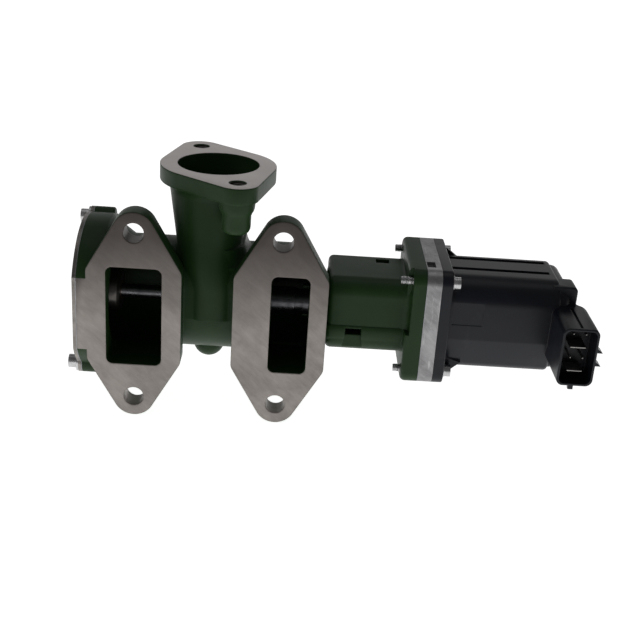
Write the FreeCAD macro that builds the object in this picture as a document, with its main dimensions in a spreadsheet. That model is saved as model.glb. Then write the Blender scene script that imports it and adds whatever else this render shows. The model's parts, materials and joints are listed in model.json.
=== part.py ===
import FreeCAD, Part
import Sketcher
import math
import os
import re

# Exhaust gas recirculation valve with two flanged inlets, one outlet neck and an electric actuator.
# Millimetres. X runs along the valve stem towards the actuator, Y away from the inlet faces, Z up.
# The origin is the centre of the four inlet flange holes, on the machined inlet faces.

# Driving dimensions
SIZES = {
    # Inlet flanges and their ports
    "flange_spacing": 82.4,
    "bolt_height": 100,
    "bolt_hole": 11.5,
    "axis_back": 40,
    "flange_thick": 12.8,
    "flange_half_width": 26.8,
    "flange_lobe_radius": 12,
    "flange_corner_radius": 7,
    "flange_corner_rise": 25.7,
    "left_port_width": 31.5,
    "right_port_width": 21.9,
    "right_port_shift": 5.43,
    "port_height": 59,
    "port_corner": 3.8,
    "duct_wall": 4.6,
    "chamber_step": 0.6,
    # Left end of the casting and its cover
    "ring_reach": 32.2,
    "ring_radius": 45.5,
    "ring_thick": 12.2,
    "ring_step": 4.5,
    "ring_cone": 9,
    "lug_circle": 44,
    "lug_radius": 6,
    "lug_angle": 150,
    "cover_gasket_thick": 0.5,
    "cover_thick": 1.8,
    "cover_spigot": 4,
    "cover_spigot_radius": 34,
    "cover_boss_radius": 12,
    "cover_boss_length": 19.7,
    "cover_boss_bevel": 1.5,
    "end_bushing_radius": 6,
    "cover_screw": 5,
    "cover_screw_length": 16,
    "cover_screw_head": 8,
    "cover_screw_height": 6.3,
    "washer_diameter": 11.4,
    "washer_thick": 1.3,
    # Chambers, partition walls and valve seats
    "barrel_radius": 30.2,
    "middle_radius": 24,
    "right_chamber_radius": 28,
    "skin_slope": 4,
    "left_seat_reach": 19,
    "seat_spacing": 44,
    "seat_recess": 2,
    "seat_depth": 5.5,
    "seat_shoulder": 2.5,
    "seat_wall": 2.5,
    "left_seat_bore": 35,
    "right_seat_bore": 31,
    "seat_bevel": 1.8,
    "seal_gap": 0.1,
    "chamber_overrun": 1.7,
    "guide_wall": 12.5,
    # Moving valve
    "stem_thick": 10,
    "stem_thin": 8,
    "stem_end_room": 5,
    "disc_thick": 5.5,
    "disc_rim": 1.2,
    "disc_dish": 1.5,
    "stem_chamfer": 1,
    "sleeve_diameter": 13,
    "nut_thick": 4,
    "nut_across": 13,
    "lift": 9,
    # Guide, stem seal and return spring
    "guide_diameter": 16,
    "guide_nose": 28.5,
    "guide_boss_radius": 10,
    "guide_boss": 5.3,
    "guide_neck": 4.6,
    "guide_neck_depth": 0.8,
    "seal_pocket_depth": 5.5,
    "seal_diameter": 19,
    "seal_lip": 1.6,
    "spring_wire": 3.2,
    "spring_radius": 15,
    "spring_turns": 5,
    "spring_length": 37,
    "spring_seat_thick": 1.6,
    "spring_seat_radius": 19,
    "retainer_thick": 3,
    "clip_thick": 1.5,
    "clip_diameter": 17,
    "groove_depth": 1,
    # Spring housing and square flange of the casting
    "spring_bore_radius": 21,
    "spring_room": 51.5,
    "spring_box_half": 26,
    "spring_box_corner": 10,
    "spring_belly_radius": 28,
    "spring_ledge": 3.5,
    "window_width": 9.5,
    "window_height": 6,
    "window_place": 17,
    "vent_slot_place": 34.4,
    "vent_slot_length": 8,
    "vent_slot_width": 6,
    "window_drop": 5.4,
    "scoop_width": 15,
    "scoop_depth": 3,
    "square_half": 35,
    "square_corner": 8,
    "square_thick": 10,
    "square_relief": 4,
    "square_relief_depth": 7,
    "square_pitch": 55.1,
    # Outlet neck
    "neck_shift": 1.26,
    "outlet_height": 81.2,
    "outlet_thick": 9.5,
    "outlet_bore": 46.7,
    "outlet_disc_radius": 33.2,
    "outlet_lobe_radius": 12,
    "outlet_hole_side": 13.41,
    "outlet_hole_front": 36.92,
    "outlet_thread": 8.5,
    "outlet_thread_depth": 22,
    "thread_boss_radius": 8.6,
    "thread_boss_drop": 18,
    "neck_radius": 26,
    "neck_flare": 4.5,
    "neck_flare_height": 6,
    "waist_half_width": 20.8,
    "waist_half_depth": 29.2,
    "waist_height": 42,
    "saddle_spread": 9,
    "saddle_height": 15,
    "neck_wall": 4.6,
    "drain_boss_radius": 9.5,
    "drain_boss_shift": 1.5,
    "drain_boss_drop": 25,
    # Adapter plate
    "plate_gasket_thick": 0.5,
    "plate_thick": 8.1,
    "plate_pilot": 3,
    "plate_pocket_depth": 5,
    "plate_notch_length": 5,
    "plate_notch_width": 9,
    "plate_notch_depth": 2.5,
    "plate_notch_front": 24,
    # Actuator housing
    "actuator_flange": 6.4,
    "barrel_length": 70,
    "barrel_half": 29,
    "barrel_corner": 13,
    "barrel_end_radius": 6,
    "facet_radius": 8,
    "facet_rise": 6,
    "facet_foot": 14,
    "motor_bore_radius": 24.5,
    "motor_bore_length": 62,
    "top_groove_rear": 9.5,
    "top_groove_front": 4,
    "groove_width": 4,
    "groove_sink": 1.4,
    "groove_stop": 7,
    "panel_start": 2,
    "panel_length": 32,
    "panel_low": 2.4,
    "panel_high": 16,
    "panel_sink": 0.6,
    "gusset_length": 11,
    "gusset_thick": 4,
    "gusset_place": 18,
    "head_room": 1.2,
    "head_relief_length": 9,
    "tower_left_inset": 10.7,
    "tower_width": 20.5,
    "tower_half_height": 16.6,
    "tower_corner": 4,
    "tower_reach": 20,
    "tower_wall": 1.7,
    "tower_mouth_depth": 24,
    "end_block_top": 20,
    "end_block_depth": 35,
    "seal_section": 2,
    "housing_seal_radius": 26.5,
    "actuator_screw": 5,
    "screw_protrusion": 4.5,
    "screw_head_diameter": 7.6,
    "screw_head_height": 5.4,
    # Motor and lead screw
    "screw_gap": 0.3,
    "lead": 6,
    "thread_length": 34,
    "sleeve_bore_radius": 6.2,
    "slot_width": 7,
    "slot_depth": 8,
    "slot_corner": 3.4,
    "slot_inset": 6,
    "winding_overhang": 3.5,
    "ball_radius": 1.5,
    "push_rod_side": 9,
    "push_rod_corner": 2,
    "lead_screw_diameter": 9,
    "bearing_outer": 28,
    "bearing_width": 7,
    "bearing_race": 1.7,
    "rotor_sleeve_diameter": 15,
    "magnet_diameter": 25,
    "magnet_length": 36,
    "air_gap": 0.6,
    "stator_length": 40,
    "sensor_thick": 1.6,
    "pin_thick": 1,
    "pin_spread": 7,
    "pin_rise": 4.6,
    "pin_pitch": 14.3,
    "blade_width": 9,
    "blade_thick": 1,
    "blade_drop": 8,
    "terminal_reach": 18,
    "terminal_root": 6,
    # Clearances
    "fit_gap": 0.02,
    "running_gap": 0.05,
    "free_gap": 0.4,
}

# Stations along the stem and other places worked out from the driving dimensions
PLACES = {
    "left_centre": "- flange_spacing / 2",
    "right_centre": "flange_spacing / 2",
    "casting_left": "left_centre - ring_reach",
    "gasket_left": "casting_left - cover_gasket_thick",
    "cover_left": "gasket_left - cover_thick",
    "ring_right": "casting_left + ring_thick",
    "step_right": "ring_right + ring_step",
    "cone_right": "step_right + ring_cone",
    "port_half": "port_height / 2",
    "duct_half": "port_half + duct_wall",
    "chamber_radius": "port_half + chamber_step",
    "chamber_skin_radius": "duct_half + chamber_step",
    "left_duct_half": "left_port_width / 2 + duct_wall",
    "right_duct_half": "right_port_width / 2 + duct_wall",
    "left_duct_right": "left_centre + left_duct_half",
    "right_port_centre": "right_centre + right_port_shift",
    "right_duct_left": "right_port_centre - right_duct_half",
    "right_duct_right": "right_port_centre + right_duct_half",
    "left_seat_face": "left_centre + left_seat_reach",
    "left_wall_left": "left_seat_face - seat_recess",
    "left_seat_back": "left_seat_face + seat_depth",
    "middle_left": "left_seat_back + seat_shoulder",
    "right_seat_face": "left_seat_face + seat_spacing",
    "right_wall_left": "right_seat_face - seat_recess",
    "right_seat_back": "right_seat_face + seat_depth",
    "right_chamber_left": "right_seat_back + seat_shoulder",
    "right_chamber_right": "right_port_centre + right_port_width / 2 + chamber_overrun",
    "spring_floor": "right_chamber_right + guide_wall",
    "seal_left": "spring_floor - seal_pocket_depth",
    "casting_right": "spring_floor + spring_room",
    "square_left": "casting_right - square_thick",
    "plate_left": "casting_right + plate_gasket_thick",
    "plate_right": "plate_left + plate_thick",
    "actuator_face": "plate_right + actuator_flange",
    "barrel_right": "actuator_face + barrel_length",
    "motor_bore_right": "plate_right + motor_bore_length",
    "left_seat_radius": "left_seat_bore / 2",
    "right_seat_radius": "right_seat_bore / 2",
    "left_disc_radius": "left_seat_radius + seat_bevel",
    "right_disc_radius": "right_seat_radius + seat_bevel",
    "left_disc_nose": "left_seat_face - seal_gap + seat_bevel",
    "left_disc_left": "left_disc_nose - disc_thick",
    "right_disc_nose": "right_seat_face - seal_gap + seat_bevel",
    "right_disc_left": "right_disc_nose - disc_thick",
    "stem_left": "gasket_left + free_gap + lift",
    "cover_boss_right": "gasket_left + cover_boss_length",
    "end_bushing_left": "gasket_left + free_gap",
    "spring_left": "spring_floor + spring_seat_thick",
    "spring_right": "spring_left + spring_length",
    "retainer_right": "spring_right + retainer_thick",
    "clip_right": "retainer_right + clip_thick",
    "stem_right": "clip_right + stem_end_room",
    "push_rod_left": "stem_right + screw_gap",
    "throat_half_width": "waist_half_width - neck_wall",
    "throat_half_depth": "waist_half_depth - neck_wall",
    "outlet_bore_radius": "outlet_bore / 2",
    "neck_flare_bottom": "outlet_height - outlet_thick - neck_flare_height",
    "outlet_bottom": "outlet_height - outlet_thick",
    "throat_top": "neck_flare_bottom + free_gap",
    "throat_top_radius": "outlet_bore_radius - free_gap",
    "saddle_bottom": "waist_height - saddle_height",
    "square_hole": "square_pitch / 2",
    "axis_front": "axis_back - square_half",
    "tower_left": "barrel_right - tower_left_inset",
    "tower_right": "tower_left + tower_width",
    "tower_middle": "tower_left + tower_width / 2",
    "front_bearing_left": "plate_right - plate_pocket_depth",
    "front_bearing_right": "front_bearing_left + bearing_width",
    "rear_bearing_left": "motor_bore_right",
    "rear_bearing_right": "rear_bearing_left + bearing_width",
    "stator_middle": "plate_right + motor_bore_length / 2 + 2",
    "stator_inner_radius": "magnet_diameter / 2 + air_gap",
    "slot_middle": "stator_inner_radius + slot_inset",
    "ball_circle": "rotor_sleeve_diameter / 4 + bearing_outer / 4",
    "rod_right": "front_bearing_left + lift + running_gap",
    "screw_thread_left": "rod_right + free_gap",
    "screw_right": "screw_thread_left + thread_length + lift",
}

doc = FreeCAD.newDocument("egr_valve")


def number(text, known):
    """The value of a sum of sizes, each with an optional factor, written with spaces between words."""
    total, sign, term, action = 0.0, 1.0, None, None
    for word in text.split():
        if word in ("+", "-"):
            if term is not None:
                total += sign * term
            sign, term = (1.0 if word == "+" else -1.0), None
        elif word in ("*", "/"):
            action = word
        else:
            value = known[word] if word[0].isalpha() else float(word)
            if action == "*":
                term, action = term * value, None
            elif action == "/":
                term, action = term / value, None
            else:
                term = value
    return total + sign * term


def fill_sheets():
    """Write both sheets and return each name's value and the sheet that holds it."""
    sheet = doc.addObject("Spreadsheet::Sheet", "Sizes")
    known, owner = {}, {}
    for row, (name, value) in enumerate(SIZES.items(), start=1):
        sheet.set(f"A{row}", name)
        sheet.set(f"B{row}", str(value))
        sheet.setAlias(f"B{row}", name)
        known[name], owner[name] = float(value), "Sizes"
    places = doc.addObject("Spreadsheet::Sheet", "Places")
    for row, (name, text) in enumerate(PLACES.items(), start=1):
        cell = re.sub(r"[a-z_]+",
                      lambda word: ("Sizes." if owner[word[0]] == "Sizes" else "") + word[0], text)
        places.set(f"A{row}", name)
        places.set(f"B{row}", "=" + cell)
        places.setAlias(f"B{row}", name)
        known[name], owner[name] = number(text, known), "Places"
    doc.recompute()
    return known, owner


KNOWN, OWNER = fill_sheets()


def mm(text):
    """The value of a size expression in millimetres."""
    return number(text, KNOWN)


def bind(thing, path, text):
    """Tie a property of an object to the sheets."""
    thing.setExpression(path, re.sub(r"[a-z_]+", lambda word: OWNER[word[0]] + "." + word[0], text))


# Sketch helpers

TURNED = {
    "XY": FreeCAD.Rotation(),
    "XZ": FreeCAD.Rotation(FreeCAD.Vector(1, 0, 0), 90),
    "YZ": FreeCAD.Rotation(FreeCAD.Vector(1, 1, 1), 120),
}
ORIGIN_POINT, H_AXIS, V_AXIS = (-1, 1), -1, -2
FLARE_STEPS = 4
SLOTS = 6
BALLS = 8


def plane_of(body, plane):
    """A body's own origin plane."""
    return next(part for part in body.Origin.OriginFeatures if part.Role == plane + "_Plane")


def negated(text):
    """The same sum with every sign turned round."""
    words = text.split()
    if words[0] not in ("+", "-"):
        words.insert(0, "+")
    turned_words = [{"+": "-", "-": "+"}.get(word, word) for word in words]
    return " ".join(turned_words[1:] if turned_words[0] == "+" else turned_words)


def summed(first, second):
    """Two sums written as one."""
    if first == "0":
        return second
    return f"{first} {second}" if second[0] == "-" else f"{first} + {second}"


def add_sketch(home, name, plane, place=("0", "0", "0")):
    """A sketch parallel to a plane with its origin at a bound place; home is a body or None."""
    x, y, z = place
    if home:
        sketch = home.newObject("Sketcher::SketchObject", name)
        sketch.AttachmentSupport = [(plane_of(home, plane), "")]
        sketch.MapMode = "FlatFace"
        own = {"XY": (x, y, z), "XZ": (x, z, negated(y)), "YZ": (y, z, x)}[plane]
        path = "AttachmentOffset.Base."
    else:
        sketch = doc.addObject("Sketcher::SketchObject", name)
        sketch.Placement.Rotation = TURNED[plane]
        own, path = place, "Placement.Base."
    for axis, text in zip("xyz", own):
        bind(sketch, path + axis, text)
    return sketch


def fix_point(sketch, geometry, end, x_text, y_text):
    """Hold one end or centre of a sketch element at two bound distances from the sketch's origin."""
    for kind, text, axis in (("DistanceX", x_text, V_AXIS), ("DistanceY", y_text, H_AXIS)):
        if text == "0":
            sketch.addConstraint(Sketcher.Constraint("PointOnObject", geometry, end, axis))
            continue
        index = sketch.addConstraint(Sketcher.Constraint(kind, *ORIGIN_POINT, geometry, end, mm(text)))
        bind(sketch, f"Constraints[{index}]", text)


def fix_radius(sketch, geometry, text):
    index = sketch.addConstraint(Sketcher.Constraint("Radius", geometry, mm(text)))
    bind(sketch, f"Constraints[{index}]", text)


def polygon(sketch, points):
    """A closed outline of straight lines through bound points."""
    at = [FreeCAD.Vector(mm(x), mm(y), 0) for x, y in points]
    lines = [sketch.addGeometry(Part.LineSegment(a, b)) for a, b in zip(at, at[1:] + at[:1])]
    for this, after in zip(lines, lines[1:] + lines[:1]):
        sketch.addConstraint(Sketcher.Constraint("Coincident", this, 2, after, 1))
    for line, (x, y) in zip(lines, points):
        fix_point(sketch, line, 1, x, y)
    return sketch


def circle(sketch, x, y, radius):
    ring = sketch.addGeometry(Part.Circle(FreeCAD.Vector(mm(x), mm(y), 0), FreeCAD.Vector(0, 0, 1),
                                          mm(radius)))
    fix_point(sketch, ring, 3, x, y)
    fix_radius(sketch, ring, radius)
    return sketch


def belt(sketch, rounds):
    """A closed outline of arcs joined by tangent lines, as a belt runs counterclockwise round discs."""
    centres = [FreeCAD.Vector(mm(x), mm(y), 0) for x, y, _ in rounds]
    radii = [mm(radius) for _, _, radius in rounds]
    count = len(rounds)
    normals = []
    for i in range(count):
        step = centres[(i + 1) % count] - centres[i]
        along = FreeCAD.Vector(step).normalize()
        aside = FreeCAD.Vector(along.y, -along.x, 0)
        lean = (radii[i] - radii[(i + 1) % count]) / step.Length
        normals.append(along * lean + aside * math.sqrt(1 - lean * lean))
    arcs, lines = [], []
    for i in range(count):
        start, end = (math.atan2(n.y, n.x) for n in (normals[i - 1], normals[i]))
        round_part = Part.Circle(centres[i], FreeCAD.Vector(0, 0, 1), radii[i])
        arcs.append(sketch.addGeometry(Part.ArcOfCircle(round_part, start, end)))
    for i in range(count):
        after = (i + 1) % count
        tip = centres[i] + normals[i] * radii[i]
        foot = centres[after] + normals[i] * radii[after]
        lines.append(sketch.addGeometry(Part.LineSegment(tip, foot)))
    for i, (x, y, radius) in enumerate(rounds):
        fix_point(sketch, arcs[i], 3, x, y)
        fix_radius(sketch, arcs[i], radius)
        sketch.addConstraint(Sketcher.Constraint("Tangent", arcs[i], 2, lines[i], 1))
        sketch.addConstraint(Sketcher.Constraint("Tangent", lines[i], 2, arcs[(i + 1) % count], 1))
    return sketch


def rounded_box(sketch, x, y, half_width, half_height, corner):
    """A rectangle with round corners; x and y are the place of its middle."""
    wide, tall = f"{half_width} - {corner}", f"{half_height} - {corner}"
    return belt(sketch, [
        (summed(x, wide), summed(y, negated(tall)), corner),
        (summed(x, wide), summed(y, tall), corner),
        (summed(x, negated(wide)), summed(y, tall), corner),
        (summed(x, negated(wide)), summed(y, negated(tall)), corner),
    ])


# Solids of the Part workbench

def named(kind, name):
    return doc.addObject(kind, name)


def extrude(sketch, name, length, backwards=False):
    """A solid pulled out of a free sketch along its normal."""
    solid = named("Part::Extrusion", name)
    solid.Base = sketch
    solid.DirMode = "Normal"
    solid.Solid = True
    solid.Reversed = backwards
    bind(solid, "LengthFwd", length)
    return solid


DIRECTIONS = {
    "X": FreeCAD.Vector(1, 0, 0),
    "-X": FreeCAD.Vector(-1, 0, 0),
    "Y": FreeCAD.Vector(0, 1, 0),
    "Z": FreeCAD.Vector(0, 0, 1),
}


def cylinder(name, radius, height, axis, place):
    """A cylinder that runs from a bound place along one of the named directions."""
    solid = named("Part::Cylinder", name)
    bind(solid, "Radius", radius)
    bind(solid, "Height", height)
    toward = DIRECTIONS[axis]
    solid.Placement.Rotation = FreeCAD.Rotation(FreeCAD.Vector(0, 0, 1), toward)
    for direction, text in zip("xyz", place):
        bind(solid, f"Placement.Base.{direction}", text)
    return solid


def sphere(name, radius, place):
    solid = named("Part::Sphere", name)
    bind(solid, "Radius", radius)
    for direction, text in zip("xyz", place):
        bind(solid, f"Placement.Base.{direction}", text)
    return solid


def box(name, size, place):
    solid = named("Part::Box", name)
    for side, text in zip(("Length", "Width", "Height"), size):
        bind(solid, side, text)
    for direction, text in zip("xyz", place):
        bind(solid, f"Placement.Base.{direction}", text)
    return solid


def turned(sketch, name):
    """A free sketch in the XY plane turned once round the stem's axis."""
    solid = named("Part::Revolution", name)
    solid.Source = sketch
    solid.Axis = FreeCAD.Vector(1, 0, 0)
    bind(solid, "Base.y", "axis_back")
    solid.Angle = 360
    solid.Solid = True
    return solid


def joined(name, shapes):
    solid = named("Part::MultiFuse", name)
    solid.Shapes = shapes
    return solid


def cut(name, base, tool):
    solid = named("Part::Cut", name)
    solid.Base = base
    solid.Tool = tool
    return solid


def oval(name, half_width, half_depth, height):
    """A level ellipse round the neck's axis, longer along Y."""
    ring = named("Part::Ellipse", name)
    bind(ring, "MajorRadius", half_depth)
    bind(ring, "MinorRadius", half_width)
    ring.Placement.Rotation = FreeCAD.Rotation(FreeCAD.Vector(0, 0, 1), 90)
    for direction, text in zip("xyz", ("neck_shift", "axis_back", height)):
        bind(ring, f"Placement.Base.{direction}", text)
    return ring


def loft(name, sections):
    solid = named("Part::Loft", name)
    solid.Sections = sections
    solid.Solid = True
    solid.Ruled = True
    return solid


def edges_of(shape, wanted):
    """The numbers of the edges that a rule picks, counted from one."""
    return [i for i, edge in enumerate(shape.Edges, start=1) if wanted(edge)]


# Features of the PartDesign workbench

def add_body(label):
    body = doc.addObject("PartDesign::Body", label)
    body.Label = label
    return body


def revolve(body, name, points):
    """A turned solid of a body round the stem's axis; points are station and radius."""
    sketch = polygon(add_sketch(body, name + "_profile", "XY", ("0", "axis_back", "0")), points)
    feature = body.newObject("PartDesign::Revolution", name)
    feature.Profile = sketch
    feature.ReferenceAxis = (sketch, ["H_Axis"])
    feature.Angle = 360
    return feature


def groove(body, name, points):
    sketch = polygon(add_sketch(body, name + "_profile", "XY", ("0", "axis_back", "0")), points)
    feature = body.newObject("PartDesign::Groove", name)
    feature.Profile = sketch
    feature.ReferenceAxis = (sketch, ["H_Axis"])
    feature.Angle = 360
    return feature


def pad(body, name, sketch, length, backwards=False):
    feature = body.newObject("PartDesign::Pad", name)
    feature.Profile = sketch
    feature.Reversed = backwards
    bind(feature, "Length", length)
    return feature


def pocket(body, name, sketch, length, backwards=False):
    feature = body.newObject("PartDesign::Pocket", name)
    feature.Profile = sketch
    feature.Reversed = backwards
    bind(feature, "Length", length)
    return feature


def fillet(body, name, wanted, radius):
    """A fillet on the edges that a rule picks from the body's last shape."""
    doc.recompute()
    last = body.Tip
    feature = body.newObject("PartDesign::Fillet", name)
    feature.Base = (last, [f"Edge{i}" for i in edges_of(last.Shape, wanted)])
    bind(feature, "Radius", radius)
    return feature


def polar(body, feature, count, axis_sketch):
    """Copies of a feature round the stem's axis."""
    copies = body.newObject("PartDesign::PolarPattern", feature.Name + "_copies")
    copies.Originals = [feature]
    copies.Axis = (axis_sketch, ["N_Axis"])
    copies.Angle = 360
    copies.Occurrences = count
    body.Tip = copies
    return copies


def tube(label, left, right, inner, outer):
    """A plain turned ring between two stations."""
    body = add_body(label)
    revolve(body, label + "_ring", [(left, inner), (right, inner), (right, outer), (left, outer)])
    return body


# Casting: outer skin

def inlet_flange(side, centre):
    """The lozenge flange round one inlet, its two lobes holding the manifold screws."""
    half, rise, bolt = "flange_half_width - flange_corner_radius", "flange_corner_rise", "bolt_height / 2"
    right, left = f"{centre} + {half}", f"{centre} - flange_half_width + flange_corner_radius"
    outline = belt(add_sketch(None, side + "_flange_outline", "XZ"), [
        (right, "- " + rise, "flange_corner_radius"),
        (right, rise, "flange_corner_radius"),
        (centre, bolt, "flange_lobe_radius"),
        (left, rise, "flange_corner_radius"),
        (left, "- " + rise, "flange_corner_radius"),
        (centre, "- " + bolt, "flange_lobe_radius"),
    ])
    return extrude(outline, side + "_flange", "flange_thick", backwards=True)


def duct(side, centre, half_width):
    outline = add_sketch(None, side + "_duct_outline", "XZ")
    rounded_box(outline, centre, "0", half_width, "duct_half", "flange_corner_radius")
    return extrude(outline, side + "_duct", "axis_back", backwards=True)


def chamber_skin():
    """The turned outer form along the stem, from the cover ring to the spring housing."""
    profile = polygon(add_sketch(None, "skin_profile", "XY", ("0", "axis_back", "0")), [
        ("casting_left", "0"),
        ("casting_left", "ring_radius"),
        ("ring_right", "ring_radius"),
        ("step_right", "ring_radius - ring_step"),
        ("cone_right", "chamber_skin_radius"),
        ("left_duct_right", "chamber_skin_radius"),
        ("left_duct_right + skin_slope", "barrel_radius"),
        ("right_duct_left - skin_slope", "barrel_radius"),
        ("right_duct_left", "chamber_skin_radius"),
        ("right_duct_right", "chamber_skin_radius"),
        ("right_duct_right + 2 * skin_slope", "spring_box_half"),
        ("right_duct_right + 2 * skin_slope", "0"),
    ])
    return turned(profile, "chamber_skin")


def cover_lugs():
    """Three ears on the left ring that take the cover screws."""
    lugs = []
    for number_of, (side, up) in enumerate(LUG_PLACES):
        lugs.append(cylinder(f"cover_lug_{number_of}", "lug_radius", "ring_thick", "X",
                             ("casting_left", side, up)))
    return lugs


def blend(first, second, share):
    """A bound value that lies a share of the way from one size to another."""
    return f"{round(1 - share, 4)} * {first} + {round(share, 4)} * {second}"


def eased(share):
    """A share between 0 and 1 that starts and ends gently."""
    return (1 - math.cos(math.pi * share)) / 2


def swept_neck(name, top, waist, steps=6):
    """Level ovals that ease from the round top to the oval waist, then stand straight on the stem's axis."""
    high, wide, deep = top
    low, narrow, long = waist
    ovals = []
    for step in range(steps + 1):
        share = step / steps
        ovals.append(oval(f"{name}_oval_{step}", blend(wide, narrow, eased(share)),
                          blend(deep, long, eased(share)), blend(high, low, share)))
    ovals.append(oval(f"{name}_oval_foot", narrow, long, "0"))
    return ovals


def neck_skin():
    """Outlet neck: round at the top, oval at the waist, with flares to its flange and to the barrel."""
    column = swept_neck("neck", ("neck_flare_bottom", "neck_radius", "neck_radius"),
                        ("waist_height", "waist_half_width", "waist_half_depth"))
    flare = []
    for step in range(FLARE_STEPS):
        share = step / FLARE_STEPS
        spread_out = 1 - math.cos(math.pi / 2 * (1 - share))
        radius = f"neck_radius + {round(spread_out, 4)} * neck_flare"
        height = f"neck_flare_bottom + {round(1 - share, 4)} * neck_flare_height + {round(1 - share, 4)}"
        flare.append(oval(f"neck_flare_{step}", radius, radius, height))
    saddle = []
    for step in range(FLARE_STEPS + 1):
        share = step / FLARE_STEPS
        spread_out = 1 - math.sin(math.pi / 2 * (1 - share))
        radius = f"waist_half_width - 1 + {round(spread_out, 4)} * saddle_spread"
        saddle.append(oval(f"saddle_{step}", radius, radius, blend("waist_height", "saddle_bottom", share)))
    return [loft("neck_column", flare + column), loft("neck_saddle", saddle)]


def outlet_flange():
    """The lozenge flange of the neck with one lobe in front and one behind."""
    side, front = "outlet_hole_side", "outlet_hole_front"
    outline = belt(add_sketch(None, "outlet_outline", "XY", ("neck_shift", "axis_back", "outlet_height")), [
        ("0", "0", "outlet_disc_radius"),
        ("- " + side, front, "outlet_lobe_radius"),
        ("0", "0", "outlet_disc_radius"),
        (side, "- " + front, "outlet_lobe_radius"),
    ])
    return extrude(outline, "outlet_flange", "outlet_thick", backwards=True)


def thread_bosses():
    """Round-ended bosses under the two threaded holes of the outlet."""
    bosses = []
    for name, x, y in OUTLET_HOLES:
        foot = "outlet_bottom - thread_boss_drop"
        bosses.append(cylinder(name + "_boss", "thread_boss_radius", "thread_boss_drop + 1", "Z",
                               (x, y, foot)))
        bosses.append(sphere(name + "_boss_end", "thread_boss_radius", (x, y, foot)))
    return bosses


def spring_housing():
    """Flat-sided box with a round belly that holds the return spring, and the square flange."""
    outline = add_sketch(None, "spring_box_outline", "YZ", ("right_duct_right", "axis_back", "0"))
    rounded_box(outline, "0", "0", "spring_box_half", "spring_box_half", "spring_box_corner")
    length = "square_left - right_duct_right + square_relief"
    upper = extrude(outline, "spring_box", length)
    belly_round = cylinder("spring_belly_round", "spring_belly_radius", length, "X",
                           ("right_duct_right", "axis_back", "0"))
    belly_top = box("spring_belly_top", (length, "2 * square_half", "2 * square_half"),
                    ("right_duct_right", "axis_front", "- spring_ledge"))
    belly = cut("spring_belly", belly_round, belly_top)
    square = add_sketch(None, "square_outline", "YZ", ("square_left", "axis_back", "0"))
    rounded_box(square, "0", "0", "square_half", "square_half", "square_corner")
    relief = box("square_relief_tool",
                 ("square_relief", "square_relief_depth", "square_half"),
                 ("square_left", "axis_front", "- spring_ledge"))
    flange = cut("square_flange", extrude(square, "square_block", "square_thick"), relief)
    return [upper, belly, flange]


def drain_boss():
    """Round boss under the middle of the barrel."""
    middle = ("- drain_boss_shift", "axis_back", "- drain_boss_drop")
    return [sphere("drain_boss", "drain_boss_radius", middle)]


# Casting: what is cut away

def stem_bore():
    """Every chamber, seat pocket and bore on the stem's axis, as one turned profile."""
    profile = polygon(add_sketch(None, "bore_profile", "XY", ("0", "axis_back", "0")), [
        ("casting_left", "0"),
        ("casting_left", "cover_spigot_radius"),
        ("casting_left + cover_spigot + free_gap", "cover_spigot_radius"),
        ("casting_left + cover_spigot + free_gap", "chamber_radius"),
        ("left_wall_left", "chamber_radius"),
        ("left_wall_left", "left_seat_radius + seat_bevel + seat_wall"),
        ("left_seat_back", "left_seat_radius + seat_bevel + seat_wall"),
        ("left_seat_back", "left_seat_radius"),
        ("middle_left", "left_seat_radius"),
        ("middle_left", "middle_radius"),
        ("right_wall_left", "middle_radius"),
        ("right_wall_left", "right_seat_radius + seat_bevel + seat_wall"),
        ("right_seat_back", "right_seat_radius + seat_bevel + seat_wall"),
        ("right_seat_back", "right_seat_radius"),
        ("right_chamber_left", "right_seat_radius"),
        ("right_chamber_left", "right_chamber_radius"),
        ("right_chamber_right", "right_chamber_radius"),
        ("right_chamber_right", "guide_boss_radius"),
        ("right_chamber_right - guide_boss", "guide_boss_radius"),
        ("right_chamber_right - guide_boss", "guide_diameter / 2"),
        ("seal_left", "guide_diameter / 2"),
        ("seal_left", "seal_diameter / 2"),
        ("spring_floor", "seal_diameter / 2"),
        ("spring_floor", "spring_bore_radius"),
        ("casting_right", "spring_bore_radius"),
        ("casting_right", "0"),
    ])
    return turned(profile, "stem_bore")


def port(side, centre, half_width):
    outline = add_sketch(None, side + "_port_outline", "XZ")
    rounded_box(outline, centre, "0", half_width, "port_half", "port_corner")
    return extrude(outline, side + "_port", "axis_back", backwards=True)


def outlet_bore():
    """Round bore at the outlet that turns oval and opens into the middle chamber."""
    top = cylinder("outlet_round", "outlet_bore_radius", "outlet_height - neck_flare_bottom", "Z",
                   ("neck_shift", "axis_back", "neck_flare_bottom"))
    throat = loft("outlet_throat",
                  swept_neck("throat", ("throat_top", "throat_top_radius", "throat_top_radius"),
                                              ("waist_height", "throat_half_width", "throat_half_depth")))
    return [top, throat]


def drilled(name, diameter, depth, axis, place):
    return cylinder(name, diameter + " / 2", depth, axis, place)


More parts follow.
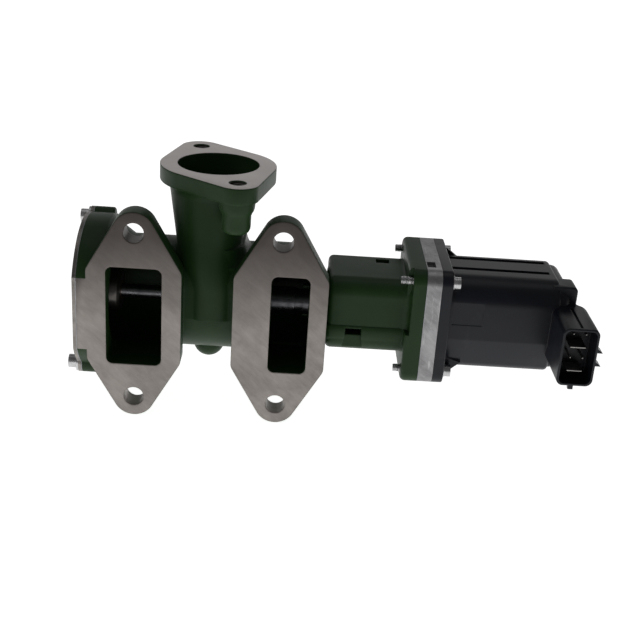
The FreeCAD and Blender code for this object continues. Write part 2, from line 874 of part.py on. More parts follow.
def hole_tools():
    """Screw holes of the two inlets, the outlet, the cover and the square flange."""
    tools = []
    for side in ("left", "right"):
        for end, up in (("top", "bolt_height / 2"), ("bottom", "- bolt_height / 2")):
            tools.append(drilled(f"{side}_{end}_bolt_hole", "bolt_hole", "flange_thick", "Y",
                                 (side + "_centre", "0", up)))
    for name, x, y in OUTLET_HOLES:
        foot = "outlet_height - outlet_thread_depth"
        tools.append(drilled(name + "_thread", "outlet_thread", "outlet_thread_depth", "Z", (x, y, foot)))
    for index, (side, up) in enumerate(LUG_PLACES):
        depth = "cover_screw_length - cover_thick - cover_gasket_thick"
        tools.append(drilled(f"cover_thread_{index}", "cover_screw", depth, "X", ("casting_left", side, up)))
    for index, (side, up) in enumerate(SQUARE_HOLES):
        tools.append(drilled(f"square_thread_{index}", "actuator_screw", "square_thick", "X",
                             ("square_left", side, up)))
    return tools


def vent_windows():
    """Window and scoop low on the front of the spring housing, and a slot on its top."""
    left = "right_duct_right + window_place"
    front = "axis_back - spring_belly_radius - 1"
    window = box("vent_window", ("window_width", "spring_belly_radius", "window_height"),
                 (left, front, "- window_drop - window_height"))
    scoop = add_sketch(None, "scoop_outline", "XZ",
                       ("0", "axis_back - spring_belly_radius + scoop_depth", "0"))
    polygon(scoop, [
        (left, "- window_drop - window_height"),
        (left + " + window_width", "- window_drop - window_height"),
        (left + " + window_width / 2 + scoop_width / 2", "- spring_belly_radius"),
        (left + " + window_width / 2 - scoop_width / 2", "- spring_belly_radius"),
    ])
    scoop_tool = extrude(scoop, "vent_scoop", "2 * scoop_depth")
    slot = box("vent_slot", ("vent_slot_length", "vent_slot_width", "spring_box_half"),
               ("right_duct_right + vent_slot_place", "axis_back", "0"))
    return [window, scoop_tool, slot]


# Cover ears: two are seen, at the bottom in front and at the top behind; the third is at the rear
def on_circle(radius, degrees, place):
    """Bound coordinates across and up of a point on a circle, its angle taken from straight up."""
    angle = math.radians(degrees)
    across, up = round(math.sin(angle), 6), round(math.cos(angle), 6)
    return (f"{place[0]} {'+' if across < 0 else '-'} {abs(across)} * {radius}",
            f"{place[1]} {'-' if up < 0 else '+'} {abs(up)} * {radius}")


LUG_PLACES = [on_circle("lug_circle", SIZES["lug_angle"] + turn, ("axis_back", "0")) for turn in (0, 90, 180)]
OUTLET_HOLES = [
    ("outlet_front", "neck_shift + outlet_hole_side", "axis_back - outlet_hole_front"),
    ("outlet_rear", "neck_shift - outlet_hole_side", "axis_back + outlet_hole_front"),
]
SQUARE_HOLES = [(f"axis_back {across} square_hole", f"{up} square_hole") for across in "+-" for up in "+-"]
SQUARE_HOLES = [(across, up.replace("+ ", "")) for across, up in SQUARE_HOLES]


def make_valve_body():
    skin = joined("casting_skin", [
        chamber_skin(),
        *cover_lugs(),
        inlet_flange("left", "left_centre"),
        inlet_flange("right", "right_centre"),
        duct("left", "left_centre", "left_duct_half"),
        duct("right", "right_port_centre", "right_duct_half"),
        *neck_skin(),
        outlet_flange(),
        *thread_bosses(),
        *spring_housing(),
        *drain_boss(),
    ])
    front_trim = box("front_trim",
                     ("cone_right - casting_left + ring_step", "ring_radius", "2 * ring_radius"),
                     ("casting_left - ring_step", "- ring_radius", "- ring_radius"))
    holes = named("Part::Compound", "screw_holes")
    holes.Links = hole_tools()
    tools = [
        front_trim,
        stem_bore(),
        port("left", "left_centre", "left_port_width / 2"),
        port("right", "right_port_centre", "right_port_width / 2"),
        *outlet_bore(),
        holes,
        *vent_windows(),
    ]
    body = skin
    for tool in tools:
        body = cut("less_" + tool.Name, body, tool)
    body.Label = "valve_body"
    return body


# Cover of the left end

def ring_plate(label, left, thick, inner):
    """A plate with the outline of the casting's left end: ring, three ears and a straight front."""
    body = add_body(label)
    disc = add_sketch(body, label + "_disc", "YZ", (left, "axis_back", "0"))
    circle(disc, "0", "0", "ring_radius")
    pad(body, label + "_plate", disc, thick)
    ears = add_sketch(body, label + "_ears", "YZ", (left, "0", "0"))
    for side, up in LUG_PLACES:
        circle(ears, side, up, "lug_radius")
    pad(body, label + "_ear_pad", ears, thick)
    front = add_sketch(body, label + "_front", "YZ", (left, "0", "0"))
    polygon(front, [("- ring_radius", "- ring_radius"), ("0", "- ring_radius"),
                    ("0", "ring_radius"), ("- ring_radius", "ring_radius")])
    pocket(body, label + "_front_cut", front, thick, backwards=True)
    holes = add_sketch(body, label + "_holes", "YZ", (left, "0", "0"))
    for side, up in LUG_PLACES:
        circle(holes, side, up, "cover_screw / 2 + free_gap")
    if inner:
        circle(holes, "axis_back", "0", inner)
    pocket(body, label + "_hole_cut", holes, thick, backwards=True)
    return body


def make_end_cover():
    """Cover plate with its spigot and the long inner boss that holds the stem's bushing."""
    body = ring_plate("end_cover", "cover_left", "cover_thick", None)
    revolve(body, "cover_spigot_block", [
        ("cover_left", "0"),
        ("casting_left + cover_spigot", "0"),
        ("casting_left + cover_spigot", "cover_spigot_radius - free_gap"),
        ("cover_left", "cover_spigot_radius - free_gap"),
    ])
    revolve(body, "cover_boss", [
        ("cover_left", "0"),
        ("cover_boss_right", "0"),
        ("cover_boss_right", "cover_boss_radius - cover_boss_bevel"),
        ("cover_boss_right - cover_boss_bevel", "cover_boss_radius"),
        ("cover_left", "cover_boss_radius"),
    ])
    groove(body, "bushing_bore", [
        ("gasket_left", "0"),
        ("gasket_left", "end_bushing_radius"),
        ("cover_boss_right", "end_bushing_radius"),
        ("cover_boss_right", "0"),
    ])
    return body


def spread(label, build, places):
    """Identical solids, one at each place, kept as one group."""
    group = named("Part::Compound", label)
    group.Links = [build(f"{label}_{index}", *place) for index, place in enumerate(places)]
    group.Label = label
    return group


def screw(name, x, side, up, shape):
    """A socket head screw along X; x is the underside of its head and shape holds its other sizes."""
    outward, shank, length, head, height, washer = shape
    toward = "X" if outward < 0 else "-X"
    parts = [
        cylinder(name + "_shank", f"{shank} / 2 - fit_gap", length, toward, (x, side, up)),
        cylinder(name + "_head", f"{head} / 2", height, "-X" if outward < 0 else "X", (x, side, up)),
    ]
    if washer:
        parts.append(cylinder(name + "_washer", "washer_diameter / 2", "washer_thick",
                              "-X" if outward < 0 else "X", (x, side, up)))
    body = joined(name + "_blank", parts)
    socket = named("Part::Prism", name + "_socket")
    socket.Polygon = 6
    bind(socket, "Circumradius", f"{head} / 4")
    bind(socket, "Height", f"{height} / 2")
    socket.Placement.Rotation = FreeCAD.Rotation(FreeCAD.Vector(0, 0, 1), FreeCAD.Vector(outward, 0, 0))
    sign = "-" if outward < 0 else "+"
    for direction, text in zip("xyz", (f"{x} {sign} {height} / 2", side, up)):
        bind(socket, f"Placement.Base.{direction}", text)
    return cut(name, body, socket)


def make_cover_screws():
    shape = (-1, "cover_screw", "cover_screw_length", "cover_screw_head", "cover_screw_height", True)
    return spread("cover_screws", lambda name, side, up: screw(name, "cover_left", side, up, shape),
                  LUG_PLACES)


def make_actuator_screws():
    shape = (1, "actuator_screw", "actuator_face - square_left + screw_protrusion",
             "screw_head_diameter", "screw_head_height", False)
    return spread("actuator_screws", lambda name, side, up: screw(name, "actuator_face", side, up, shape),
                  SQUARE_HOLES)


# Valve seats and the moving valve

def seat(label, face, back, radius):
    """A hardened ring pressed into a partition wall, with a conical sealing edge."""
    body = add_body(label)
    outer = f"{radius} + seat_bevel + seat_wall - fit_gap"
    revolve(body, label + "_ring", [
        (face, f"{radius} + seat_bevel"),
        (face, outer),
        (back, outer),
        (back, radius),
        (f"{face} + seat_bevel", radius),
    ])
    return body


def poppet(label, left, nose, seat_radius, disc_radius):
    """A dished valve disc with the cone that meets its seat."""
    body = add_body(label)
    revolve(body, label + "_disc", [
        (left, "stem_thin / 2 + fit_gap"),
        (nose, "stem_thin / 2 + fit_gap"),
        (nose, seat_radius),
        (f"{nose} - seat_bevel", disc_radius),
        (f"{nose} - seat_bevel - disc_rim", disc_radius),
        (f"{left} + disc_dish", "sleeve_diameter / 2 + disc_dish"),
        (left, "sleeve_diameter / 2 + disc_dish / 2"),
    ])
    return body


def make_stem():
    """Valve stem: thin where the discs sit, thick where it runs in the guide, grooved for the clip."""
    body = add_body("valve_shaft")
    thin, thick = "stem_thin / 2", "stem_thick / 2"
    revolve(body, "stem", [
        ("stem_left", "0"),
        ("stem_left", thin + " - stem_chamfer"),
        ("stem_left + stem_chamfer", thin),
        ("right_disc_nose", thin),
        ("right_disc_nose", thick),
        ("retainer_right", thick),
        ("retainer_right", thick + " - groove_depth"),
        ("clip_right", thick + " - groove_depth"),
        ("clip_right", thick),
        ("stem_right - stem_chamfer", thick),
        ("stem_right", thick + " - stem_chamfer"),
        ("stem_right", "0"),
    ])
    return body


def hexagon(sketch, across):
    """A hexagon round the sketch's origin, two of its sides level; across is its width over flats."""
    half = f"{across} / 2"
    corner, slope = f"{round(1 / math.sqrt(3), 6)} * {across}", f"{round(0.5 / math.sqrt(3), 6)} * {across}"
    return polygon(sketch, [
        (corner, "0"), (slope, half), ("- " + slope, half),
        ("- " + corner, "0"), ("- " + slope, "- " + half), (slope, "- " + half),
    ])


def make_shaft_nut():
    body = add_body("shaft_nut")
    outline = add_sketch(body, "nut_outline", "YZ", ("left_disc_left - nut_thick", "axis_back", "0"))
    hexagon(outline, "nut_across")
    circle(outline, "0", "0", "stem_thin / 2 + fit_gap")
    pad(body, "nut", outline, "nut_thick")
    return body


def make_guide_bushing():
    """Long stem guide that reaches into the right chamber, with a relief groove before its boss."""
    body = add_body("guide_bushing")
    outer, boss_face = "guide_diameter / 2 - fit_gap", "right_chamber_right - guide_boss"
    revolve(body, "guide", [
        ("right_chamber_right - guide_nose", "stem_thick / 2 + running_gap"),
        ("seal_left", "stem_thick / 2 + running_gap"),
        ("seal_left", outer),
        (boss_face, outer),
        (boss_face, outer + " - guide_neck_depth"),
        (boss_face + " - guide_neck", outer + " - guide_neck_depth"),
        (boss_face + " - guide_neck", outer),
        ("right_chamber_right - guide_nose + stem_chamfer", outer),
        ("right_chamber_right - guide_nose", outer + " - stem_chamfer"),
    ])
    return body


def make_shaft_seal():
    """Lip seal beside the guide, with its groove open towards the gas."""
    body = add_body("shaft_seal")
    inner, outer = "stem_thick / 2 + running_gap", "seal_diameter / 2 - fit_gap"
    revolve(body, "seal", [
        ("seal_left", inner),
        ("spring_floor", inner),
        ("spring_floor", outer),
        ("seal_left", outer),
        ("seal_left", "seal_diameter / 2 - seal_lip"),
        ("spring_floor - seal_lip", "seal_diameter / 2 - seal_lip"),
        ("spring_floor - seal_lip", "stem_thick / 2 + seal_lip"),
        ("seal_left", "stem_thick / 2 + seal_lip"),
    ])
    return body


def make_return_spring():
    """Coil spring with its ends ground flat: a wire swept along a helix, then cut to its length."""
    path = named("Part::Helix", "spring_path")
    bind(path, "Pitch", "spring_length / spring_turns")
    bind(path, "Height", "spring_length")
    bind(path, "Radius", "spring_radius")
    path.SegmentLength = 1
    wire = named("Part::Circle", "spring_wire_round")
    bind(wire, "Radius", "spring_wire / 2")
    bind(wire, "Placement.Base.x", "spring_radius")
    wire.Placement.Rotation = FreeCAD.Rotation(FreeCAD.Vector(1, 0, 0), 90)
    coil = named("Part::Sweep", "spring_coil")
    coil.Sections = [wire]
    coil.Spine = (path, [])
    coil.Solid = True
    coil.Frenet = True
    length = cylinder("spring_length_round", "spring_radius + spring_wire", "spring_length", "Z",
                      ("0", "0", "0"))
    ground = named("Part::Common", "return_spring")
    ground.Base = coil
    ground.Tool = length
    ground.Placement.Rotation = FreeCAD.Rotation(FreeCAD.Vector(0, 0, 1), FreeCAD.Vector(1, 0, 0))
    bind(ground, "Placement.Base.x", "spring_left")
    bind(ground, "Placement.Base.y", "axis_back")
    ground.Label = "return_spring"
    return ground


def make_spring_retainer():
    body = add_body("spring_retainer")
    inner, spigot = "stem_thick / 2 + fit_gap", "spring_radius - spring_wire / 2 - free_gap"
    revolve(body, "retainer", [
        ("spring_right - retainer_thick", inner),
        ("retainer_right", inner),
        ("retainer_right", "spring_seat_radius"),
        ("spring_right", "spring_seat_radius"),
        ("spring_right", spigot),
        ("spring_right - retainer_thick", spigot),
    ])
    return body


def make_retainer_clip():
    """Open ring in the stem's groove."""
    body = tube("retainer_clip", "retainer_right", "clip_right",
                "stem_thick / 2 - groove_depth + fit_gap", "clip_diameter / 2")
    mouth = add_sketch(body, "clip_mouth", "YZ", ("retainer_right", "axis_back", "0"))
    half = "stem_thick / 2 - groove_depth"
    polygon(mouth,
            [(negated(half), "0"), (half, "0"), (half, "clip_diameter"), (negated(half), "clip_diameter")])
    pocket(body, "clip_mouth_cut", mouth, "clip_thick", backwards=True)
    return body


# Adapter plate between the casting and the actuator

def square_plate(label, left, thick):
    """A plate with the square flange's outline and its four screw holes."""
    body = add_body(label)
    outline = add_sketch(body, label + "_outline", "YZ", (left, "axis_back", "0"))
    rounded_box(outline, "0", "0", "square_half", "square_half", "square_corner")
    pad(body, label + "_block", outline, thick)
    holes = add_sketch(body, label + "_holes", "YZ", (left, "0", "0"))
    for side, up in SQUARE_HOLES:
        circle(holes, side, up, "actuator_screw / 2 + free_gap")
    pocket(body, label + "_screw_holes", holes, thick, backwards=True)
    return body


def make_adapter_gasket():
    body = square_plate("adapter_gasket", "casting_right", "plate_gasket_thick")
    opening = add_sketch(body, "gasket_opening", "YZ", ("casting_right", "axis_back", "0"))
    circle(opening, "0", "0", "spring_bore_radius + free_gap")
    pocket(body, "gasket_opening_cut", opening, "plate_gasket_thick", backwards=True)
    return body


def make_adapter_plate():
    """Machined plate with a pilot into the casting, a square guide for the push rod and a bearing seat."""
    body = square_plate("adapter_plate", "plate_left", "plate_thick")
    revolve(body, "plate_pilot", [
        ("casting_right - plate_pilot", "0"),
        ("casting_right - plate_pilot", "spring_bore_radius - free_gap"),
        ("plate_right - plate_pocket_depth", "spring_bore_radius - free_gap"),
        ("plate_right - plate_pocket_depth", "0"),
    ])
    groove(body, "bearing_seat", [
        ("front_bearing_left", "0"),
        ("front_bearing_left", "bearing_outer / 2"),
        ("plate_right", "bearing_outer / 2"),
        ("plate_right", "0"),
    ])
    guide = add_sketch(body, "rod_guide", "YZ", ("casting_right - plate_pilot", "axis_back", "0"))
    half = "push_rod_side / 2 + running_gap"
    rounded_box(guide, "0", "0", half, half, "push_rod_corner")
    pocket(body, "rod_guide_cut", guide, "plate_pilot + plate_gasket_thick + plate_thick", backwards=True)
    notch = add_sketch(body, "plate_notch", "XY",
                       ("plate_left", "axis_back - plate_notch_front", "square_half"))
    polygon(notch, [("0", "0"), ("plate_notch_length", "0"),
                    ("plate_notch_length", "plate_notch_width"), ("0", "plate_notch_width")])
    pocket(body, "plate_notch_cut", notch, "plate_notch_depth")
    return body


# Actuator housing with its connector tower

def make_actuator_housing():
    """Moulded housing: square flange, flat-sided barrel, end block and the connector's shell."""
    body = square_plate("actuator_housing", "plate_right", "actuator_flange")
    barrel = add_sketch(body, "barrel_outline", "YZ", ("plate_right", "axis_back", "0"))
    half = "barrel_half - barrel_corner"
    belt(barrel, [
        (half, negated(half), "barrel_corner"),
        (half, half, "barrel_corner"),
        (negated(half), half, "barrel_corner"),
        ("facet_radius - barrel_half", "- facet_rise", "facet_radius"),
        ("- facet_foot", "facet_radius - barrel_half", "facet_radius"),
    ])
    pad(body, "barrel", barrel, "actuator_flange + barrel_length")
    fillet(body, "barrel_end", lambda edge: all(abs(v.X - mm("barrel_right")) < 0.01 for v in edge.Vertexes),
           "barrel_end_radius")
    block = add_sketch(body, "end_block_outline", "XZ", ("tower_middle", "axis_back - barrel_half", "0"))
    polygon(block, [("- tower_width / 2", "- tower_half_height"), ("tower_width / 2", "- tower_half_height"),
                    ("tower_width / 2", "end_block_top"), ("- tower_width / 2", "end_block_top")])
    pad(body, "end_block", block, "end_block_depth", backwards=True)
    tower = add_sketch(body, "tower_outline", "XZ", ("tower_middle", "- tower_reach", "0"))
    rounded_box(tower, "0", "0", "tower_width / 2", "tower_half_height", "tower_corner")
    pad(body, "tower", tower, "tower_reach + axis_back - barrel_half / 2", backwards=True)
    gussets(body)
    barrel_grooves(body)
    groove(body, "motor_bore", [
        ("plate_right", "0"),
        ("plate_right", "motor_bore_radius"),
        ("motor_bore_right", "motor_bore_radius"),
        ("motor_bore_right", "bearing_outer / 2"),
        ("rear_bearing_right", "bearing_outer / 2"),
        ("rear_bearing_right", "0"),
    ])
    groove(body, "seal_groove", [
        ("plate_right", "housing_seal_radius - seal_section"),
        ("plate_right", "housing_seal_radius + seal_section"),
        ("plate_right + seal_section", "housing_seal_radius + seal_section"),
        ("plate_right + seal_section", "housing_seal_radius - seal_section"),
    ])
    reliefs = add_sketch(body, "head_reliefs", "YZ", ("actuator_face", "0", "0"))
    for side, up in SQUARE_HOLES:
        circle(reliefs, side, up, "screw_head_diameter / 2 + head_room")
    pocket(body, "head_relief_cut", reliefs, "head_relief_length", backwards=True)
    mouth = add_sketch(body, "mouth_outline", "XZ", ("tower_middle", "- tower_reach", "0"))
    rounded_box(mouth, "0", "0", "tower_width / 2 - tower_wall", "tower_half_height - tower_wall",
                "tower_corner - tower_wall / 2")
    pocket(body, "mouth", mouth, "tower_mouth_depth")
    terminals = add_sketch(body, "terminal_slots", "XZ",
                           ("tower_middle", "tower_mouth_depth - tower_reach", "0"))
    for x, z, half_width, half_height in TERMINALS:
        edges = [(f"{x} {a} {half_width}", f"{z} {b} {half_height}") for a, b in ("--", "+-", "++", "-+")]
        polygon(terminals, edges)
    pocket(body, "terminal_cut", terminals, "terminal_root")
    return body


def gussets(body):
    """Triangular webs between the square flange and the barrel, above at the rear and below."""
    for name, place, sign in (("top_gusset", "axis_back + gusset_place", 1), ("low_gusset", "axis_back", -1)):
        web = add_sketch(body, name + "_outline", "XZ", ("actuator_face", place, "0"))
        inner, outer = "barrel_half - gusset_thick", "square_half - free_gap"
        if sign > 0:
            polygon(web, [("0", inner), ("gusset_length", inner), ("0", outer)])
        else:
            polygon(web, [("0", negated(inner)), ("0", negated(outer)), ("gusset_length", negated(inner))])
        pad(body, name, web, "gusset_thick", backwards=True)


def barrel_grooves(body):
    """Two grooves along the top and the shallow panel on the front of the barrel."""
    top = add_sketch(body, "top_grooves_outline", "XY", ("actuator_face", "axis_back", "barrel_half"))
    for near, far in (("top_groove_rear", "top_groove_rear + groove_width"),
                      ("- top_groove_front - groove_width", "- top_groove_front")):
        polygon(top, [("0", near), ("barrel_length - groove_stop", near),
                      ("barrel_length - groove_stop", far), ("0", far)])
    pocket(body, "top_grooves", top, "groove_sink")
    panel = add_sketch(body, "panel_outline", "XZ", ("actuator_face", "axis_back - barrel_half", "0"))
    polygon(panel, [("panel_start", "panel_low"), ("panel_start + panel_length", "panel_low"),
                    ("panel_start + panel_length", "panel_high"), ("panel_start", "panel_high")])
    pocket(body, "panel", panel, "panel_sink", backwards=True)


# Four signal pins in two rows and two wide power blades: place across and up, half width, half height
PIN_HALF, BLADE_HALF, BLADE_FLAT = "pin_thick / 2", "blade_width / 2", "blade_thick / 2"
PINS = [(f"{across} pin_spread / 2", up, PIN_HALF, PIN_HALF)
        for up in ("pin_rise + pin_pitch / 2", "pin_rise - pin_pitch / 2") for across in "-+"]
BLADES = [("0", up, BLADE_HALF, BLADE_FLAT)
          for up in ("pin_rise + pin_pitch / 2 - blade_drop", "pin_rise - pin_pitch / 2 - blade_drop")]
TERMINALS = [(x.replace("+ ", ""), z, w, h) for x, z, w, h in PINS + BLADES]


def terminals(label, rows):
    """Flat terminals that stand in the connector's mouth, rooted in its floor."""
    def bar(name, x, z, half_width, half_height):
        room = "fit_gap"
        return box(name, (f"2 * {half_width} - 2 * {room}", "terminal_root + terminal_reach - fit_gap",
                          f"2 * {half_height} - 2 * {room}"),
                   (f"tower_middle + {x} - {half_width} + {room}".replace("+ - ", "- "),
                    "tower_mouth_depth - tower_reach - terminal_reach",
                    f"{z} - {half_height} + {room}"))
    return spread(label, bar, rows)


# Motor, bearings and lead screw

def make_motor():
    """Wound stator, magnet rotor on its threaded sleeve, and the two ball bearings."""
    core = tube("stator_core", "stator_middle - stator_length / 2", "stator_middle + stator_length / 2",
                "stator_inner_radius", "motor_bore_radius - fit_gap")
    slot = add_sketch(core, "winding_slot", "YZ", ("stator_middle - stator_length / 2", "axis_back", "0"))
    rounded_box(slot, "0", "slot_middle", "slot_width / 2", "slot_depth / 2", "slot_corner")
    slot_cut = pocket(core, "winding_slot_cut", slot, "stator_length", backwards=True)
    polar(core, slot_cut, SLOTS, slot)
    bars = []
    for index in range(SLOTS):
        across, up = on_circle("slot_middle", 360 * index / SLOTS, ("axis_back", "0"))
        bars.append(cylinder(f"winding_bar_{index}", "slot_width / 2 - running_gap",
                             "stator_length + 2 * winding_overhang", "X",
                             ("stator_middle - stator_length / 2 - winding_overhang", across, up)))
    for side, start in (("left", "stator_middle - stator_length / 2 - winding_overhang"),
                        ("right", "stator_middle + stator_length / 2 + running_gap")):
        bars.append(turned(polygon(add_sketch(None, f"winding_{side}_profile", "XY",
                                              ("0", "axis_back", "0")), [
            (start, "stator_inner_radius + air_gap"),
            (start + " + winding_overhang - running_gap", "stator_inner_radius + air_gap"),
            (start + " + winding_overhang - running_gap", "motor_bore_radius - air_gap"),
            (start, "motor_bore_radius - air_gap"),
        ]), f"winding_{side}"))
    coils = joined("stator_coils", bars)
    coils.Label = "stator_coils"
    sleeve = add_body("rotor_sleeve")
    outer = "rotor_sleeve_diameter / 2"
    revolve(sleeve, "sleeve", [
        ("front_bearing_left + running_gap", "sleeve_bore_radius"),
        ("screw_thread_left", "sleeve_bore_radius"),
        ("screw_thread_left", "lead_screw_diameter / 2 + running_gap"),
        ("screw_thread_left + thread_length", "lead_screw_diameter / 2 + running_gap"),
        ("screw_thread_left + thread_length", "sleeve_bore_radius"),
        ("rear_bearing_right - running_gap", "sleeve_bore_radius"),
        ("rear_bearing_right - running_gap", outer),
        ("front_bearing_left + running_gap", outer),
    ])
    magnet = tube("rotor_magnet", "stator_middle - magnet_length / 2", "stator_middle + magnet_length / 2",
                  outer + " + fit_gap", "magnet_diameter / 2")
    return [core, coils, sleeve, magnet]


def make_bearings():
    """Two ball bearings, their outer races in plate and housing and their inner races on the sleeve."""
    nodes = []
    inner, outer = "rotor_sleeve_diameter / 2 + fit_gap", "bearing_outer / 2 - fit_gap"
    for side in ("front", "rear"):
        left, right = f"{side}_bearing_left + running_gap", f"{side}_bearing_right - running_gap"
        nodes.append(tube(f"{side}_outer_race", left, right, outer + " - bearing_race", outer))
        nodes.append(tube(f"{side}_inner_race", left, right, inner, inner + " + bearing_race"))
        middle = f"{side}_bearing_left + bearing_width / 2"
        places = [on_circle("ball_circle", 360 * index / BALLS, ("axis_back", "0")) for index in range(BALLS)]
        nodes.append(spread(f"{side}_bearing_balls",
                            lambda name, side_place, up, x=middle: sphere(name, "ball_radius",
                                                                          (x, side_place, up)),
                            places))
    return nodes


def make_lead_screw():
    """Square push rod that slides in the plate, and the screw behind it that the rotor drives."""
    body = add_body("lead_screw")
    rod = add_sketch(body, "rod_outline", "YZ", ("push_rod_left", "axis_back", "0"))
    rounded_box(rod, "0", "0", "push_rod_side / 2", "push_rod_side / 2", "push_rod_corner")
    pad(body, "push_rod", rod, "rod_right - push_rod_left")
    revolve(body, "screw_thread", [
        ("rod_right", "0"),
        ("screw_right", "0"),
        ("screw_right", "lead_screw_diameter / 2"),
        ("rod_right", "lead_screw_diameter / 2"),
    ])
    return body


def make_housing_seal():
    """O-ring squeezed between the plate and the housing's groove."""
    ring = named("Part::Torus", "housing_seal")
    bind(ring, "Radius1", "housing_seal_radius")
    bind(ring, "Radius2", "seal_section / 2 - fit_gap")
    ring.Placement.Rotation = FreeCAD.Rotation(DIRECTIONS["Z"], DIRECTIONS["X"])
    bind(ring, "Placement.Base.x", "plate_right + seal_section / 2")
    bind(ring, "Placement.Base.y", "axis_back")
    ring.Label = "housing_seal"
    return ring


def make_sensor_board():
    """Ring-shaped board with the rotor's position sensors, at the bottom of the motor bore."""
    return tube("sensor_board", "motor_bore_right - sensor_thick", "motor_bore_right",
                "bearing_outer / 2 + free_gap", "motor_bore_radius - fit_gap")


def check(nodes):
    """Stop if any object failed or any piece isn't a sound solid."""
    doc.recompute()
    failed = [thing.Name for thing in doc.Objects if {"Invalid", "Error"} & set(thing.State)]
    for node in nodes:
        if node.Shape.isNull() or not node.Shape.isValid() or not node.Shape.Solids:
            failed.append(node.Label)
    if failed:
        raise RuntimeError("failed: " + ", ".join(failed))


def build():
    bushing_inner = "stem_thin / 2 + running_gap"
    nodes = [
        make_valve_body(),
        make_end_cover(),
        ring_plate("end_cover_gasket", "gasket_left", "cover_gasket_thick", "cover_spigot_radius + free_gap"),
        make_cover_screws(),
        tube("end_bushing", "end_bushing_left", "cover_boss_right", bushing_inner,
             "end_bushing_radius - fit_gap"),
        seat("left_valve_seat", "left_seat_face", "left_seat_back", "left_seat_radius"),
        seat("right_valve_seat", "right_seat_face", "right_seat_back", "right_seat_radius"),
        make_stem(),
        poppet("left_poppet", "left_disc_left", "left_disc_nose", "left_seat_radius", "left_disc_radius"),
        poppet("right_poppet", "right_disc_left", "right_disc_nose", "right_seat_radius",
               "right_disc_radius"),
        tube("poppet_spacer", "left_disc_nose", "right_disc_left", "stem_thin / 2 + fit_gap",
             "sleeve_diameter / 2"),
        make_shaft_nut(),
        make_guide_bushing(),
        make_shaft_seal(),
        make_return_spring(),
        tube("spring_seat", "spring_floor", "spring_left", "stem_thick / 2 + free_gap", "spring_seat_radius"),
        make_spring_retainer(),
        make_retainer_clip(),
        make_adapter_gasket(),
        make_adapter_plate(),
        make_actuator_housing(),
        make_housing_seal(),
        make_actuator_screws(),
        *make_motor(),
        *make_bearings(),
        make_lead_screw(),
        make_sensor_board(),
        terminals("signal_pins", TERMINALS[:len(PINS)]),
        terminals("power_blades", TERMINALS[len(PINS):]),
    ]
    check(nodes)
    return nodes


NODES = build()
os.makedirs("parts", exist_ok=True)
for node in NODES:
    node.Shape.exportStep(f"parts/{node.Label}.step")
    print(node.Label, round(node.Shape.Volume, 1))
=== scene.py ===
import bmesh
import bpy
import json
import math
from mathutils import Matrix, Vector


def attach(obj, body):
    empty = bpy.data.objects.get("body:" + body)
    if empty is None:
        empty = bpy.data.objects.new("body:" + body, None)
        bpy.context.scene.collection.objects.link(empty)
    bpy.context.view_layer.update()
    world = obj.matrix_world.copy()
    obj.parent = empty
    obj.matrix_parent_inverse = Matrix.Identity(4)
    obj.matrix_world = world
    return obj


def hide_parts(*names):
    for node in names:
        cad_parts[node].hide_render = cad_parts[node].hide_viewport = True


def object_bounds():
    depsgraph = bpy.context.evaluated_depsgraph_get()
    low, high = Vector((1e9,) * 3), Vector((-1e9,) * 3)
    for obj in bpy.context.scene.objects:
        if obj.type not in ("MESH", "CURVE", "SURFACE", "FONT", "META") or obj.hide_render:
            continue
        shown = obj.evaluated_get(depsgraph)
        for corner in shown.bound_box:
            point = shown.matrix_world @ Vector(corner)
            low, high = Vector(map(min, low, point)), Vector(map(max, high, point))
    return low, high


# Exhaust gas valve: painted casting with milled faces, aluminium adapter plate, black actuator.
# The frame is the part's own, in metres: X along the stem, Y away from the inlet faces, Z up.

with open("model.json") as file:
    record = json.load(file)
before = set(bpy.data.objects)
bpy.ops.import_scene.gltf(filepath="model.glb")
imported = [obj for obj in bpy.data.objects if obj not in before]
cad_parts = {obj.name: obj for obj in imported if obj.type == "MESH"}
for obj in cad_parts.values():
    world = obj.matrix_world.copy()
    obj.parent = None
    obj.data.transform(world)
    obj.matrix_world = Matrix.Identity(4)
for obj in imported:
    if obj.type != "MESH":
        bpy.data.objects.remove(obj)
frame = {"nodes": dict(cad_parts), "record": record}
cad_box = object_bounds()
nodes = frame["nodes"]
scene = bpy.context.scene
MM = 0.001

# Measures that several forms and finishes share, in millimetres
AXIS_BACK = 40.0             # the stem's axis, behind the milled inlet faces
INLETS = (-41.2, 41.2)       # middles of the two inlet flanges
INLET_HOLES = [(x, z) for x in INLETS for z in (-50.0, 50.0)]
BOLT_HOLE = 5.75             # radius
PORTS = ((-41.2, 15.75), (46.63, 10.95))    # middle and half width of each inlet's port
PORT_HALF_HEIGHT = 29.5
DUCT_WALL = 4.6
OUTLET_FACE = 81.2
OUTLET_THREADS = [(14.67, 3.08), (-12.15, 76.92)]
THREAD_HOLE = 4.25           # radius
NECK_SHIFT = 1.26            # the outlet's middle, off the middle between the inlets
LEDGE = -3.5                 # level where the column and the barrel between the ducts end
SQUARE_HALF, SQUARE_CORNER = 35.0, 8.0      # of the square flange and the actuator's flange
SQUARE_HOLE = 27.55          # each way from the axis to a screw
SQUARE_RIGHT = 123.28
ACTUATOR_LEFT, ACTUATOR_FACE = 131.88, 138.28
TOWER = 207.83               # middle of the connector
COVER_LEFT = -75.7
COVER_EARS = 44.0            # radius on which the cover's screws sit
SCREW_PLACES = [(ACTUATOR_FACE, AXIS_BACK + a * SQUARE_HOLE, b * SQUARE_HOLE)
                for a in (-1, 1) for b in (-1, 1)]
EAR_PLACES = [(COVER_LEFT, AXIS_BACK - COVER_EARS * math.sin(turn), COVER_EARS * math.cos(turn))
              for turn in map(math.radians, (150, 240, 330))]


# Node helpers

